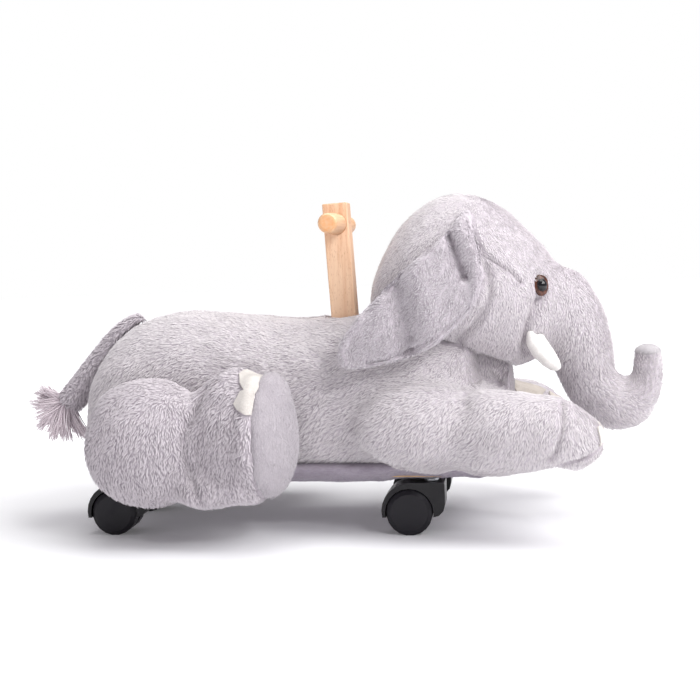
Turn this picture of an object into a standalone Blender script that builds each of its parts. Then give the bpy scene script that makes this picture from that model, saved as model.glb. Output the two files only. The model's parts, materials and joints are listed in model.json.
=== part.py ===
"""Plush ride-on elephant on four swivelling twin-wheel casters.

A lying elephant of stuffed pile fabric is built round a plywood board. A wooden post with a
dowel grip stands on the board and comes out through the back. Metres, +Z up, +X is the way
the animal looks, its right side is at -Y, and the wheels stand on z = 0.
"""

import math

import bmesh
import bpy
from mathutils import Matrix, Vector

# Clearances
GAP = 0.0003
OVERRUN = 0.010
RUNNING_GAP = 0.0006

# Twin-wheel caster
WHEEL_RADIUS = 0.025
WHEEL_WIDTH = 0.0165
WHEEL_FACE_RADIUS = 0.0203
WHEEL_BEVEL = 0.0024
WHEEL_CROWN = 0.0008
WHEEL_RIM = 0.0032
WHEEL_RECESS = 0.0055
WHEEL_HUB_RADIUS = 0.0070
WHEEL_BORE_DEPTH = 0.0105
WHEEL_FACETS = 20
AXLE_RADIUS = 0.0030
WEB_THICKNESS = 0.0050
TRAIL = 0.0240
HOOD_RISE = 0.0330
HOOD_REACH = 0.0390
HOOD_CORNER = 0.0140
HOOD_TOP_CORNER = 0.0020
HOOD_WALL = 0.0035
HOOD_LIP_DROP = 0.0050
HOOD_CLEARANCE = 0.0015
HOOD_SIDE_LAP = 0.0012
STEM_RADIUS = 0.0040
STEM_SOCKET = 0.0130
COLLAR_RADIUS = 0.0080
COLLAR_HEIGHT = 0.0024
TEE_NUT_FLANGE_RADIUS = 0.0100
TEE_NUT_FLANGE = 0.0016
TEE_NUT_BARREL_RADIUS = 0.0056
TEE_NUT_HEIGHT = 0.0100
CASTER_INSET = 0.0360
FRONT_STEM_SETBACK = 0.0960
REAR_STEM_SETBACK = 0.0680

# Plywood board and the fabric tray under it
BOARD_THICKNESS = 0.0140
BOARD_END_MARGIN = 0.0300
BOARD_SIDE_MARGIN = 0.0140
BOARD_CORNER = 0.0280
BELLY_CLOTH = 0.0025
BELLY_SAG = 0.0030

# Handle
POST_DEPTH = 0.0280
POST_WIDTH = 0.0300
POST_TOP_Z = 0.3640
POST_TO_HEAD = 0.0195
POST_LEAN = math.radians(3.0)
POST_EDGE = 0.0012
DOWEL_LENGTH = 0.1570
DOWEL_RADIUS = 0.0120
DOWEL_END_RADIUS = 0.0110
DOWEL_END_ROUNDING = 0.0040
DOWEL_BELOW_TOP = 0.0235
PIN_RADIUS = 0.0015
PIN_SINK = 0.0010
BRACKET_THICKNESS = 0.0025
BRACKET_WIDTH = 0.0360
BRACKET_HEIGHT = 0.0420
BRACKET_FLANGE = 0.0260
BOLT_RADIUS = 0.0030
BOLT_HEIGHT = 0.0250
BOLT_HEAD_RADIUS = 0.0057
BOLT_HEAD = 0.0040
BOLT_TAIL = 0.0020
NUT_THICKNESS = 0.0050
SCREW_RADIUS = 0.0022
SCREW_LENGTH = 0.0120
SCREW_HEAD_RADIUS = 0.0045
SCREW_HEAD = 0.0026

# Foam block round the foot of the post
FOAM_END_MARGIN = 0.0520
FOAM_SIDE_MARGIN = 0.0150
FOAM_HEIGHT = 0.0720
FOAM_CORNER = 0.0120
FOAM_POCKET_MARGIN = 0.0040

# Stuffed body
BODY_REAR_X = -0.2880
BODY_LENGTH = 0.4960
BODY_WIDTH = 0.1960
BODY_HEIGHT = 0.1860

# Head and what it carries
HEAD_LENGTH = 0.2230
HEAD_WIDTH = 0.1940
HEAD_HEIGHT = 0.1900
HEAD_REACH = 0.0560
HEAD_DROP = 0.0690
TRUNK_LENGTH = 0.1150
TRUNK_DROP = 0.1320
TRUNK_WIDTH = 0.0960
TRUNK_CAP = 0.0040
EAR_LENGTH = 0.2080
EAR_WIDTH = 0.0980
EAR_THICKNESS = 0.0200
EAR_SPREAD = 0.1140
EYE_RADIUS = 0.0100
EYE_DOME = 0.0060
EYE_STEM_RADIUS = 0.0025
EYE_STEM = 0.0120
EYE_SINK = 0.0020
EYE_WASHER_RADIUS = 0.0080
EYE_WASHER = 0.0015
EYE_WASHER_BACK = 0.0040
TUSK_LENGTH = 0.0560
TUSK_RADIUS = 0.0100

# Legs and tail
FRONT_LEG_REACH = {"right": 0.1720, "left": 0.1500}
FRONT_LEG_WIDTH = 0.0900
FRONT_LEG_HEIGHT = 0.1000
FRONT_LEG_SPREAD = 0.0260
FRONT_SOLE_LENGTH = 0.0520
FRONT_SOLE_WIDTH = 0.0580
FRONT_SOLE_THICKNESS = 0.0220
FRONT_SOLE_PITCH = math.radians(34.0)
FRONT_SPLAY = {"right": math.radians(0.0), "left": math.radians(9.0)}
THIGH_LENGTH = 0.1460
THIGH_HEIGHT = 0.1440
THIGH_WIDTH = 0.1000
THIGH_SPREAD = 0.0260
THIGH_FORWARD = 0.1020
THIGH_DROP = 0.0220
FOOT_LENGTH = 0.0880
FOOT_HEIGHT = 0.1380
FOOT_WIDTH = 0.0980
HEEL_FORWARD = 0.1520
FOOT_SPREAD = 0.0400
FOOT_YAW = math.radians(20.0)
FOOT_SOLE_BULGE = 0.0260
TAIL_RADIUS = 0.0160
TAIL_LENGTH = 0.0880
TAIL_DROP = 0.0940
TUFT_LENGTH = 0.0515
TUFT_RADIUS = 0.0300

# Stations of the stuffed forms, as shares of the sizes above
# Body: along the length, half width, underside, top
BODY_STATION_SHARES = (
    (0.000, 0.50, 0.24, 0.54),
    (0.022, 0.76, 0.08, 0.68),
    (0.075, 0.90, 0.00, 0.88),
    (0.150, 0.98, 0.00, 0.985),
    (0.260, 1.02, 0.00, 1.020),
    (0.400, 1.02, 0.00, 0.975),
    (0.540, 1.00, 0.00, 0.945),
    (0.680, 1.00, 0.00, 0.965),
    (0.810, 0.98, 0.00, 0.930),
    (0.915, 0.87, 0.00, 0.820),
    (0.975, 0.72, 0.05, 0.730),
    (1.000, 0.46, 0.18, 0.640),
)
# Head: along the length, half width, underside, top
HEAD_STATION_SHARES = (
    (0.000, 0.20, 0.24, 0.42),
    (0.050, 0.54, 0.12, 0.62),
    (0.160, 0.82, 0.07, 0.83),
    (0.320, 0.99, 0.05, 0.985),
    (0.480, 1.03, 0.025, 1.030),
    (0.640, 0.98, -0.02, 0.965),
    (0.790, 0.80, 0.00, 0.815),
    (0.900, 0.58, 0.09, 0.650),
    (0.970, 0.40, 0.17, 0.520),
    (1.000, 0.20, 0.26, 0.440),
)
# Trunk: forward, down, half width, half thickness
TRUNK_STATION_SHARES = (
    (0.020, 0.015, 0.72, 0.64),
    (0.116, 0.060, 0.88, 0.80),
    (0.270, 0.285, 0.95, 0.90),
    (0.390, 0.523, 0.80, 0.77),
    (0.420, 0.730, 0.69, 0.67),
    (0.530, 0.910, 0.66, 0.66),
    (0.710, 1.020, 0.63, 0.63),
    (0.910, 0.960, 0.56, 0.56),
    (1.010, 0.790, 0.42, 0.41),
    (1.005, 0.545, 0.345, 0.345),
)
# Ear: down the ear, centre across it, half width, half thickness, sideways place
EAR_STATION_SHARES = (
    (-0.020, -0.08, 0.12, 0.45, 0.48),
    (0.040, 0.04, 0.30, 0.80, 0.64),
    (0.130, 0.18, 0.58, 0.95, 0.82),
    (0.260, 0.32, 0.90, 1.05, 0.91),
    (0.440, 0.365, 1.00, 1.15, 0.96),
    (0.620, 0.325, 0.91, 1.15, 0.98),
    (0.790, 0.220, 0.70, 1.05, 0.985),
    (0.930, 0.180, 0.42, 0.85, 0.985),
    (1.000, 0.190, 0.16, 0.50, 0.985),
)
EAR_ROOT_SHARES = (0.535, 0.872)
EAR_SLANT = math.radians(43.0)
# Tusk: along its length, radius
TUSK_STATION_SHARES = (
    (0.00, 1.00),
    (0.30, 1.05),
    (0.60, 0.95),
    (0.85, 0.78),
    (0.97, 0.50),
    (1.00, 0.22),
)
# Places on the head: along it, aside, up
TRUNK_ROOT_SHARES = (0.87, 0.0, 0.44)
EYE_SEAT_SHARES = (0.858, 0.60, 0.468)
EYE_AIM_SHARES = (0.42, 0.90, 0.10)
TUSK_ROOT_SHARES = (0.80, 0.46, 0.22)
TUSK_TIP_SHARES = (0.93, 0.58, 0.01)
# Disc over the trunk's end: along its thickness, size
TRUNK_CAP_SHARES = (
    (0.0, 1.00),
    (0.6, 0.94),
    (1.0, 0.60),
)
# Shoulder: back from the chest, as a share of the body's length
SHOULDER_SHARE = 0.165
# Front leg: forward, outward, height of the centre, half width, half height
FRONT_LEG_STATION_SHARES = (
    (0.00, -0.60, 0.54, 0.62, 0.58),
    (0.15, 0.10, 0.56, 0.90, 0.92),
    (0.34, 0.68, 0.52, 0.98, 0.98),
    (0.54, 1.00, 0.57, 0.92, 0.84),
    (0.70, 1.05, 0.55, 0.92, 0.82),
    (0.84, 1.05, 0.48, 0.84, 0.76),
    (0.96, 1.02, 0.415, 0.56, 0.50),
    (1.00, 1.00, 0.40, 0.26, 0.22),
)
# Front sole: forward, up; and through its thickness, size
FRONT_SOLE_PLACE_SHARES = (0.87, 0.27)
FRONT_SOLE_STATION_SHARES = (
    (0.00, 0.70),
    (0.30, 0.95),
    (0.60, 1.00),
    (0.85, 0.82),
    (1.00, 0.45),
)
# Thigh: along the length, half width, half height
THIGH_STATION_SHARES = (
    (-0.500, 0.30, 0.28),
    (-0.440, 0.62, 0.62),
    (-0.270, 0.92, 0.93),
    (-0.040, 1.05, 1.05),
    (0.200, 1.00, 1.02),
    (0.400, 0.70, 0.72),
    (0.490, 0.30, 0.32),
)
# Rear foot: along the length, half width, half height
FOOT_STATION_SHARES = (
    (0.00, 0.40, 0.40),
    (0.10, 0.76, 0.76),
    (0.38, 1.00, 1.00),
    (0.72, 1.03, 1.05),
    (1.00, 0.94, 0.96),
)
# The heel's height over the wheels, as a share of the foot's height
HEEL_RISE_SHARE = 0.42
# Rear sole: along its bulge, half width, half height
SOLE_STATION_SHARES = (
    (0.00, 0.94, 0.96),
    (0.40, 0.90, 0.92),
    (0.85, 0.58, 0.60),
    (1.00, 0.26, 0.26),
)
# Tail: its root's place along the body and up it; then backward, down, radius
TAIL_ROOT_SHARES = (0.12, 0.93)
TAIL_STATION_SHARES = (
    (-0.10, -0.02, 0.72),
    (0.12, 0.03, 0.86),
    (0.44, 0.32, 0.90),
    (0.76, 0.70, 0.98),
    (1.04, 1.00, 0.98),
)
# Tuft: along the tuft, radius
TUFT_STATION_SHARES = (
    (0.00, 0.44),
    (0.28, 0.66),
    (0.70, 1.00),
    (1.00, 0.74),
)
TUFT_AIM_SHARES = (-0.72, -0.69)

# Roundness of the sections: 2 is an ellipse, more is squarer
BODY_TOP_FULLNESS = 2.3
BODY_UNDERSIDE_FULLNESS = 5.0
FORM_SIDES = 12
LIMB_SIDES = 8
SMALL_SIDES = 6

# Heights that follow from the sizes above
AXLE_Z = WHEEL_RADIUS
HOOD_TOP_Z = AXLE_Z + HOOD_RISE
COLLAR_Z = HOOD_TOP_Z + GAP
BELLY_Z = COLLAR_Z + COLLAR_HEIGHT + GAP
BOARD_Z = BELLY_Z + BELLY_CLOTH + GAP
BOARD_TOP_Z = BOARD_Z + BOARD_THICKNESS
SEAM_Z = BOARD_TOP_Z
DECK_Z = BOARD_TOP_Z + GAP
BACK_Z = BELLY_Z + BODY_HEIGHT

# Places that follow from the sizes above
BODY_FRONT_X = BODY_REAR_X + BODY_LENGTH
HEAD_REAR_X = BODY_FRONT_X + HEAD_REACH - HEAD_LENGTH
HEAD_Z = BACK_Z - HEAD_DROP
POST_FOOT_X = HEAD_REAR_X - POST_TO_HEAD
FRONT_STEM_X = BODY_FRONT_X - FRONT_STEM_SETBACK
REAR_STEM_X = BODY_REAR_X + REAR_STEM_SETBACK
CASTER_TRACK = BODY_WIDTH - 2 * CASTER_INSET
BOARD_X = (FRONT_STEM_X + REAR_STEM_X) / 2
BOARD_LENGTH = FRONT_STEM_X - REAR_STEM_X + 2 * BOARD_END_MARGIN
BOARD_WIDTH = CASTER_TRACK + 2 * BOARD_SIDE_MARGIN
FOAM_LENGTH = BOARD_LENGTH - 2 * FOAM_END_MARGIN
FOAM_WIDTH = BOARD_WIDTH - 2 * FOAM_SIDE_MARGIN
THIGH_X = BODY_REAR_X + THIGH_FORWARD
HEEL_X = BODY_REAR_X + HEEL_FORWARD
SWIVEL_SWEEP = TRAIL + WHEEL_RADIUS + HOOD_CLEARANCE + HOOD_WALL
HOOD_WIDTH = WEB_THICKNESS + 2 * (RUNNING_GAP + WHEEL_WIDTH - HOOD_SIDE_LAP)

SIDES = {"right": -1, "left": 1}
X_AXIS = Vector((1, 0, 0))
Y_AXIS = Vector((0, 1, 0))
Z_AXIS = Vector((0, 0, 1))

# Finishes: colour, roughness, metallic
PILE = ("grey_pile", (0.62, 0.58, 0.62), 0.95, 0.0)
SHORT_PILE = ("short_grey_pile", (0.45, 0.41, 0.46), 0.9, 0.0)
SOLE_PILE = ("pale_sole_fabric", (0.66, 0.63, 0.66), 0.9, 0.0)
WHITE_FELT = ("white_felt", (0.88, 0.86, 0.84), 0.8, 0.0)
TUFT_YARN = ("tuft_yarn", (0.47, 0.41, 0.44), 0.9, 0.0)
EYE_PLASTIC = ("eye_plastic", (0.05, 0.03, 0.025), 0.08, 0.0)
WASHER_PLASTIC = ("washer_plastic", (0.85, 0.85, 0.84), 0.5, 0.0)
BEECH = ("beech", (0.85, 0.62, 0.44), 0.5, 0.0)
PLYWOOD = ("plywood", (0.70, 0.53, 0.36), 0.7, 0.0)
FOAM = ("foam", (0.86, 0.82, 0.66), 0.95, 0.0)
STEEL = ("zinc_steel", (0.62, 0.63, 0.64), 0.35, 1.0)
NYLON = ("black_nylon", (0.02, 0.02, 0.022), 0.35, 0.0)


def clear_scene():
    for item in list(bpy.data.objects):
        bpy.data.objects.remove(item, do_unlink=True)


def make_collection(name):
    collection = bpy.data.collections.new(name)
    bpy.context.scene.collection.children.link(collection)
    return collection


def material(finish):
    """The Principled material of a finish, made once."""
    name, colour, roughness, metallic = finish
    found = bpy.data.materials.get(name)
    if found:
        return found
    made = bpy.data.materials.new(name)
    made.use_nodes = True
    shader = made.node_tree.nodes["Principled BSDF"]
    shader.inputs["Base Color"].default_value = (*colour, 1)
    shader.inputs["Roughness"].default_value = roughness
    shader.inputs["Metallic"].default_value = metallic
    made.diffuse_color = (*colour, 1)
    return made


def add_object(name, mesh, finish, parent=None):
    """A new object of the part; its mesh is in its parent's coordinates."""
    item = bpy.data.objects.new(name, mesh)
    PART.objects.link(item)
    item.data.materials.append(material(finish))
    item.parent = parent
    return item


def mesh_from(bm, name):
    mesh = bpy.data.meshes.new(name)
    bmesh.ops.recalc_face_normals(bm, faces=bm.faces)
    bm.to_mesh(mesh)
    bm.free()
    return mesh


def shade(item, angle=math.radians(35)):
    item.data.shade_smooth()
    item.data.set_sharp_from_angle(angle=angle)


def box_mesh(name, size, centre):
    bm = bmesh.new()
    bmesh.ops.create_cube(bm, size=1)
    bmesh.ops.scale(bm, vec=Vector(size), verts=bm.verts)
    bmesh.ops.translate(bm, vec=Vector(centre), verts=bm.verts)
    return mesh_from(bm, name)


def rod_mesh(name, radius, length, centre, axis=Z_AXIS, segments=12):
    """A round or, with 6 segments, hexagonal bar along an axis."""
    bm = bmesh.new()
    bmesh.ops.create_cone(
        bm, cap_ends=True, segments=segments, radius1=radius, radius2=radius, depth=length
    )
    turn = Z_AXIS.rotation_difference(axis).to_matrix()
    bmesh.ops.rotate(bm, cent=Vector(), matrix=turn, verts=bm.verts)
    bmesh.ops.translate(bm, vec=Vector(centre), verts=bm.verts)
    return mesh_from(bm, name)


def turned(name, profile, finish, steps, closed=False, parent=None):
    """A turned piece about its local Z from (radius, height) points, top to bottom."""
    bm = bmesh.new()
    points = [bm.verts.new((radius, 0, height)) for radius, height in profile]
    for upper, lower in zip(points, points[1:]):
        bm.edges.new((upper, lower))
    if closed:
        bm.edges.new((points[-1], points[0]))
    mesh = bpy.data.meshes.new(name)
    bm.to_mesh(mesh)
    bm.free()
    item = add_object(name, mesh, finish, parent)
    screw = item.modifiers.new("Turn", "SCREW")
    screw.steps = steps
    screw.render_steps = steps
    screw.use_merge_vertices = True
    screw.merge_threshold = GAP / 10
    screw.use_smooth_shade = True
    return item


def extruded(name, outline, width, finish, parent=None):
    """A flat outline of (x, z) points in the XZ plane, extruded to a width along Y."""
    curve = bpy.data.curves.new(name, "CURVE")
    curve.dimensions = "2D"
    curve.fill_mode = "BOTH"
    curve.extrude = width / 2
    spline = curve.splines.new("POLY")
    spline.points.add(len(outline) - 1)
    for point, (x, z) in zip(spline.points, outline):
        point.co = (x, z, 0, 1)
    spline.use_cyclic_u = True
    holder = bpy.data.objects.new(name, curve)
    PART.objects.link(holder)
    bpy.context.view_layer.update()
    mesh = bpy.data.meshes.new_from_object(holder.evaluated_get(bpy.context.evaluated_depsgraph_get()))
    bpy.data.objects.remove(holder, do_unlink=True)
    bm = bmesh.new()
    bm.from_mesh(mesh)
    bmesh.ops.remove_doubles(bm, verts=bm.verts, dist=GAP / 10)
    bmesh.ops.rotate(bm, cent=Vector(), matrix=Matrix.Rotation(math.pi / 2, 3, "X"), verts=bm.verts)
    bpy.data.meshes.remove(mesh)
    return add_object(name, mesh_from(bm, name), finish, parent)


def arc(centre, radius, start, end, steps):
    """Points on an arc in the XZ plane, with both ends; the radius may grow along it."""
    first, last = radius if isinstance(radius, tuple) else (radius, radius)
    points = []
    for step in range(steps + 1):
        share = step / steps
        angle = start + (end - start) * share
        reach = first + (last - first) * share
        points.append((centre[0] + reach * math.cos(angle), centre[1] + reach * math.sin(angle)))
    return points


def as_cutter(mesh, parent=None):
    """A hidden object that only shapes others."""
    cutter = bpy.data.objects.new("cutter_" + mesh.name, mesh)
    CUTTERS.objects.link(cutter)
    cutter.display_type = "WIRE"
    cutter.hide_render = True
    cutter.parent = parent
    return cutter


def combine(item, other, operation):
    """Adds a Boolean modifier; other is a cutter object or a mesh."""
    if isinstance(other, bpy.types.Mesh):
        other = as_cutter(other, item.parent)
    modifier = item.modifiers.new(operation.title(), "BOOLEAN")
    modifier.operation = operation
    modifier.solver = "EXACT"
    modifier.object = other


def cut(item, *cutters):
    for cutter in cutters:
        combine(item, cutter, "DIFFERENCE")


def join(item, *others):
    for other in others:
        combine(item, other, "UNION")


def bevel(item, width, segments=2, angle=math.radians(40)):
    modifier = item.modifiers.new("Edges", "BEVEL")
    modifier.width = width
    modifier.segments = segments
    modifier.limit_method = "ANGLE"
    modifier.angle_limit = angle


def evaluated_mesh(item):
    bpy.context.view_layer.update()
    mesh = bpy.data.meshes.new_from_object(item.evaluated_get(bpy.context.evaluated_depsgraph_get()))
    mesh.transform(item.matrix_world)
    return mesh


def grown(item, clearance=GAP):
    """A cutter with the shape that the item has now, grown by a clearance."""
    mesh = evaluated_mesh(item)
    mesh.name = item.name
    bm = bmesh.new()
    bm.from_mesh(mesh)
    bm.normal_update()
    moves = [vert.normal * clearance * vert.calc_shell_factor() for vert in bm.verts]
    for vert, move in zip(bm.verts, moves):
        vert.co += move
    bm.to_mesh(mesh)
    bm.free()
    return as_cutter(mesh)


def section(centre, half_width, half_height, sides, across=Y_AXIS, up=Z_AXIS, fullness=(2, 2)):
    """A closed ring of points; fullness is for its upper and its lower half.

    The ring is drawn a little large, by as much as one level of subdivision draws it in.
    """
    fill = 8 / (6 + 2 * math.cos(2 * math.pi / sides))
    ring = []
    for step in range(sides):
        angle = 2 * math.pi * (step + 0.5) / sides
        power = 2 / (fullness[0] if math.sin(angle) > 0 else fullness[1])
        aside = math.copysign(abs(math.cos(angle)) ** power, math.cos(angle))
        rise = math.copysign(abs(math.sin(angle)) ** power, math.sin(angle))
        ring.append(centre + across * half_width * fill * aside + up * half_height * fill * rise)
    return ring


def soft_form(name, rings, finish, flat_ends=(False, False), levels=1):
    """A stuffed form: a cage lofted through rings of unlike size, then subdivided."""
    bm = bmesh.new()
    crease = bm.edges.layers.float.new("crease_edge")
    loops = [[bm.verts.new(point) for point in ring] for ring in rings]
    for near, far in zip(loops, loops[1:]):
        for index in range(len(near)):
            bm.faces.new((near[index - 1], near[index], far[index], far[index - 1]))
    for loop, flat in zip((loops[0], loops[-1]), flat_ends):
        cap = bm.faces.new(loop)
        for edge in cap.edges:
            edge[crease] = 1.0 if flat else 0.0
    item = add_object(name, mesh_from(bm, name), finish)
    subdivision = item.modifiers.new("Stuffing", "SUBSURF")
    subdivision.levels = levels
    subdivision.render_levels = levels
    item.data.shade_smooth()
    return item


def bent_form(name, stations, finish, sides, flat_ends=(False, False), across=Y_AXIS):
    """A limb along a bent line of (centre, half width, half thickness) stations."""
    centres = [station[0] for station in stations]
    rings = []
    for index, (centre, half_width, half_thickness) in enumerate(stations):
        behind = centres[max(index - 1, 0)]
        ahead = centres[min(index + 1, len(centres) - 1)]
        tangent = (ahead - behind).normalized()
        side = (across - tangent * across.dot(tangent)).normalized()
        rings.append(
            section(centre, half_width, half_thickness, sides, across=side, up=tangent.cross(side))
        )
    return soft_form(name, rings, finish, flat_ends)


def body_form(name, finish):
    """The whole outer shape of the body, from rump to chest."""
    rings = []
    for along, wide, low, high in BODY_STATION_SHARES:
        bottom = BELLY_Z - BELLY_SAG + low * BODY_HEIGHT
        top = BELLY_Z + high * BODY_HEIGHT
        centre = Vector((BODY_REAR_X + along * BODY_LENGTH, 0, (bottom + top) / 2))
        rings.append(
            section(
                centre,
                wide * BODY_WIDTH / 2,
                (top - bottom) / 2,
                FORM_SIDES,
                fullness=(BODY_TOP_FULLNESS, BODY_UNDERSIDE_FULLNESS),
            )
        )
    return soft_form(name, rings, finish)


def halfspace(name, z, up):
    """A box over or under a level, wider than the body all round."""
    size = (BODY_LENGTH + 2 * OVERRUN, BODY_WIDTH + 2 * OVERRUN, BODY_HEIGHT)
    shift = BODY_HEIGHT / 2 if up else -BODY_HEIGHT / 2
    return box_mesh(name, size, ((BODY_REAR_X + BODY_FRONT_X) / 2, 0, z + shift))


def rounded_slab(name, length, width, height, corner, finish, centre):
    """A slab with upright corners rounded in plan."""
    outline = []
    for sign_x, sign_y, start in ((1, 1, 0), (-1, 1, 1), (-1, -1, 2), (1, -1, 3)):
        middle = (sign_x * (length / 2 - corner), sign_y * (width / 2 - corner))
        outline += arc(middle, corner, start * math.pi / 2, (start + 1) * math.pi / 2, 5)
    item = extruded(name, outline, height, finish)
    upright = Matrix.Translation(Vector(centre)) @ Matrix.Rotation(-math.pi / 2, 4, "X")
    item.data.transform(upright)
    return item


def make_board():
    """Plywood board with a counterbored hole for each tee nut and one for each screw."""
    board = rounded_slab(
        "base_board", BOARD_LENGTH, BOARD_WIDTH, BOARD_THICKNESS, BOARD_CORNER, PLYWOOD,
        (BOARD_X, 0, BOARD_Z + BOARD_THICKNESS / 2),
    )
    for x, y in caster_places().values():
        reach = BOARD_THICKNESS + 2 * OVERRUN
        middle = BOARD_Z + BOARD_THICKNESS / 2
        cut(board, rod_mesh("tee_nut_hole", TEE_NUT_BARREL_RADIUS + GAP, reach, (x, y, middle)))
        sink = TEE_NUT_FLANGE + GAP
        counterbore = rod_mesh(
            "tee_nut_seat", TEE_NUT_FLANGE_RADIUS + GAP, sink + OVERRUN,
            (x, y, BOARD_TOP_Z - sink + (sink + OVERRUN) / 2),
        )
        cut(board, counterbore)
    for sign in SIDES.values():
        depth = SCREW_LENGTH - BRACKET_THICKNESS + GAP
        hole = rod_mesh(
            "screw_hole", SCREW_RADIUS + GAP, depth + OVERRUN,
            (POST_FOOT_X, sign * screw_y(), BOARD_TOP_Z - depth + (depth + OVERRUN) / 2), segments=12,
        )
        cut(board, hole)
    return board


def screw_y():
    """Where the bracket screws stand, to the side of the post."""
    return POST_WIDTH / 2 + GAP + BRACKET_THICKNESS + BRACKET_FLANGE / 2


def make_body():
    """Stuffed body over the board and the fabric tray that closes it from below."""
    whole = body_form("body_plush", PILE)
    outer = grown(whole)
    cut(whole, halfspace("below_seam", SEAM_Z + GAP, up=False))
    tray = body_form("belly_cover", SHORT_PILE)
    cut(tray, halfspace("above_seam", SEAM_Z, up=True), halfspace("below_belly", BELLY_Z, up=False))
    return whole, tray, outer


def fit_belly_cover(tray, board):
    """The tray's pocket for the board and its holes for the caster stems."""
    pocket = rounded_slab(
        "board_pocket", BOARD_LENGTH + 2 * GAP, BOARD_WIDTH + 2 * GAP,
        BOARD_THICKNESS + GAP + OVERRUN, BOARD_CORNER + GAP, PLYWOOD,
        (BOARD_X, 0, BOARD_Z - GAP + (BOARD_THICKNESS + GAP + OVERRUN) / 2),
    )
    pocket_mesh = pocket.data
    bpy.data.objects.remove(pocket, do_unlink=True)
    cut(tray, pocket_mesh)
    for x, y in caster_places().values():
        reach = BELLY_CLOTH + 2 * OVERRUN
        cut(tray, rod_mesh("stem_hole", STEM_RADIUS + GAP, reach, (x, y, BELLY_Z)))


def post_axis():
    """A unit vector up the leaning post."""
    return Vector((-math.sin(POST_LEAN), 0, math.cos(POST_LEAN)))


def post_point(z):
    """The point of the post's centre line at a height."""
    return Vector((POST_FOOT_X - (z - DECK_Z) * math.tan(POST_LEAN), 0, z))


def post_mesh(name, clearance=0.0, overrun=0.0):
    """The square post, cut level at its foot and square to itself at its top."""
    top = post_point(POST_TOP_Z) + post_axis() * overrun
    length = POST_TOP_Z - DECK_Z + 2 * POST_DEPTH
    bm = bmesh.new()
    bmesh.ops.create_cube(bm, size=1)
    size = Vector((POST_DEPTH + 2 * clearance, POST_WIDTH + 2 * clearance, length))
    bmesh.ops.scale(bm, vec=size, verts=bm.verts)
    bmesh.ops.translate(bm, vec=Vector((0, 0, -length / 2)), verts=bm.verts)
    lean = Matrix.Rotation(-POST_LEAN, 4, "Y")
    bmesh.ops.transform(bm, matrix=Matrix.Translation(top) @ lean, verts=bm.verts)
    geometry = list(bm.verts) + list(bm.edges) + list(bm.faces)
    foot = Vector((0, 0, DECK_Z - overrun))
    cut_open = bmesh.ops.bisect_plane(
        bm, geom=geometry, plane_co=foot, plane_no=-Z_AXIS, clear_outer=True
    )
    rim = [item for item in cut_open["geom_cut"] if isinstance(item, bmesh.types.BMEdge)]
    bmesh.ops.holes_fill(bm, edges=rim, sides=len(rim))
    return mesh_from(bm, name)


def make_handle():
    """Post, dowel grip and the steel pin that holds the dowel in the post."""
    post = add_object("handle_post", post_mesh("handle_post"), BEECH)
    bevel(post, POST_EDGE)
    centre = post_point(POST_TOP_Z) - post_axis() * DOWEL_BELOW_TOP
    half = DOWEL_LENGTH / 2
    straight = half - DOWEL_END_ROUNDING
    rounding = arc((DOWEL_END_RADIUS - DOWEL_END_ROUNDING, straight), DOWEL_END_ROUNDING, math.pi / 2, 0, 3)
    upper = [(0, half)] + rounding + [(DOWEL_RADIUS, POST_WIDTH)]
    profile = upper + [(radius, -height) for radius, height in reversed(upper)]
    dowel = turned("handle_dowel", profile, BEECH, steps=20)
    dowel.rotation_euler = (math.pi / 2, 0, 0)
    dowel.location = centre
    bore = rod_mesh("dowel_bore", DOWEL_RADIUS + GAP, POST_WIDTH + 2 * OVERRUN, centre, Y_AXIS, 20)
    cut(post, bore)

    normal = post_axis().cross(Y_AXIS) * -1
    face = centre + normal * POST_DEPTH / 2
    pin_length = POST_DEPTH / 2 + DOWEL_RADIUS / 2
    middle = face - normal * (PIN_SINK + pin_length / 2)
    pin = add_object("dowel_pin", rod_mesh("dowel_pin", PIN_RADIUS, pin_length, middle, normal, 12), STEEL)
    shade(pin)
    hole_length = pin_length + PIN_SINK + GAP + OVERRUN
    hole_middle = face + normal * OVERRUN - normal * hole_length / 2
    hole = as_cutter(rod_mesh("pin_hole", PIN_RADIUS + GAP, hole_length, hole_middle, normal, 12))
    cut(post, hole)
    cut(dowel, hole)
    return post, dowel


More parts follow.
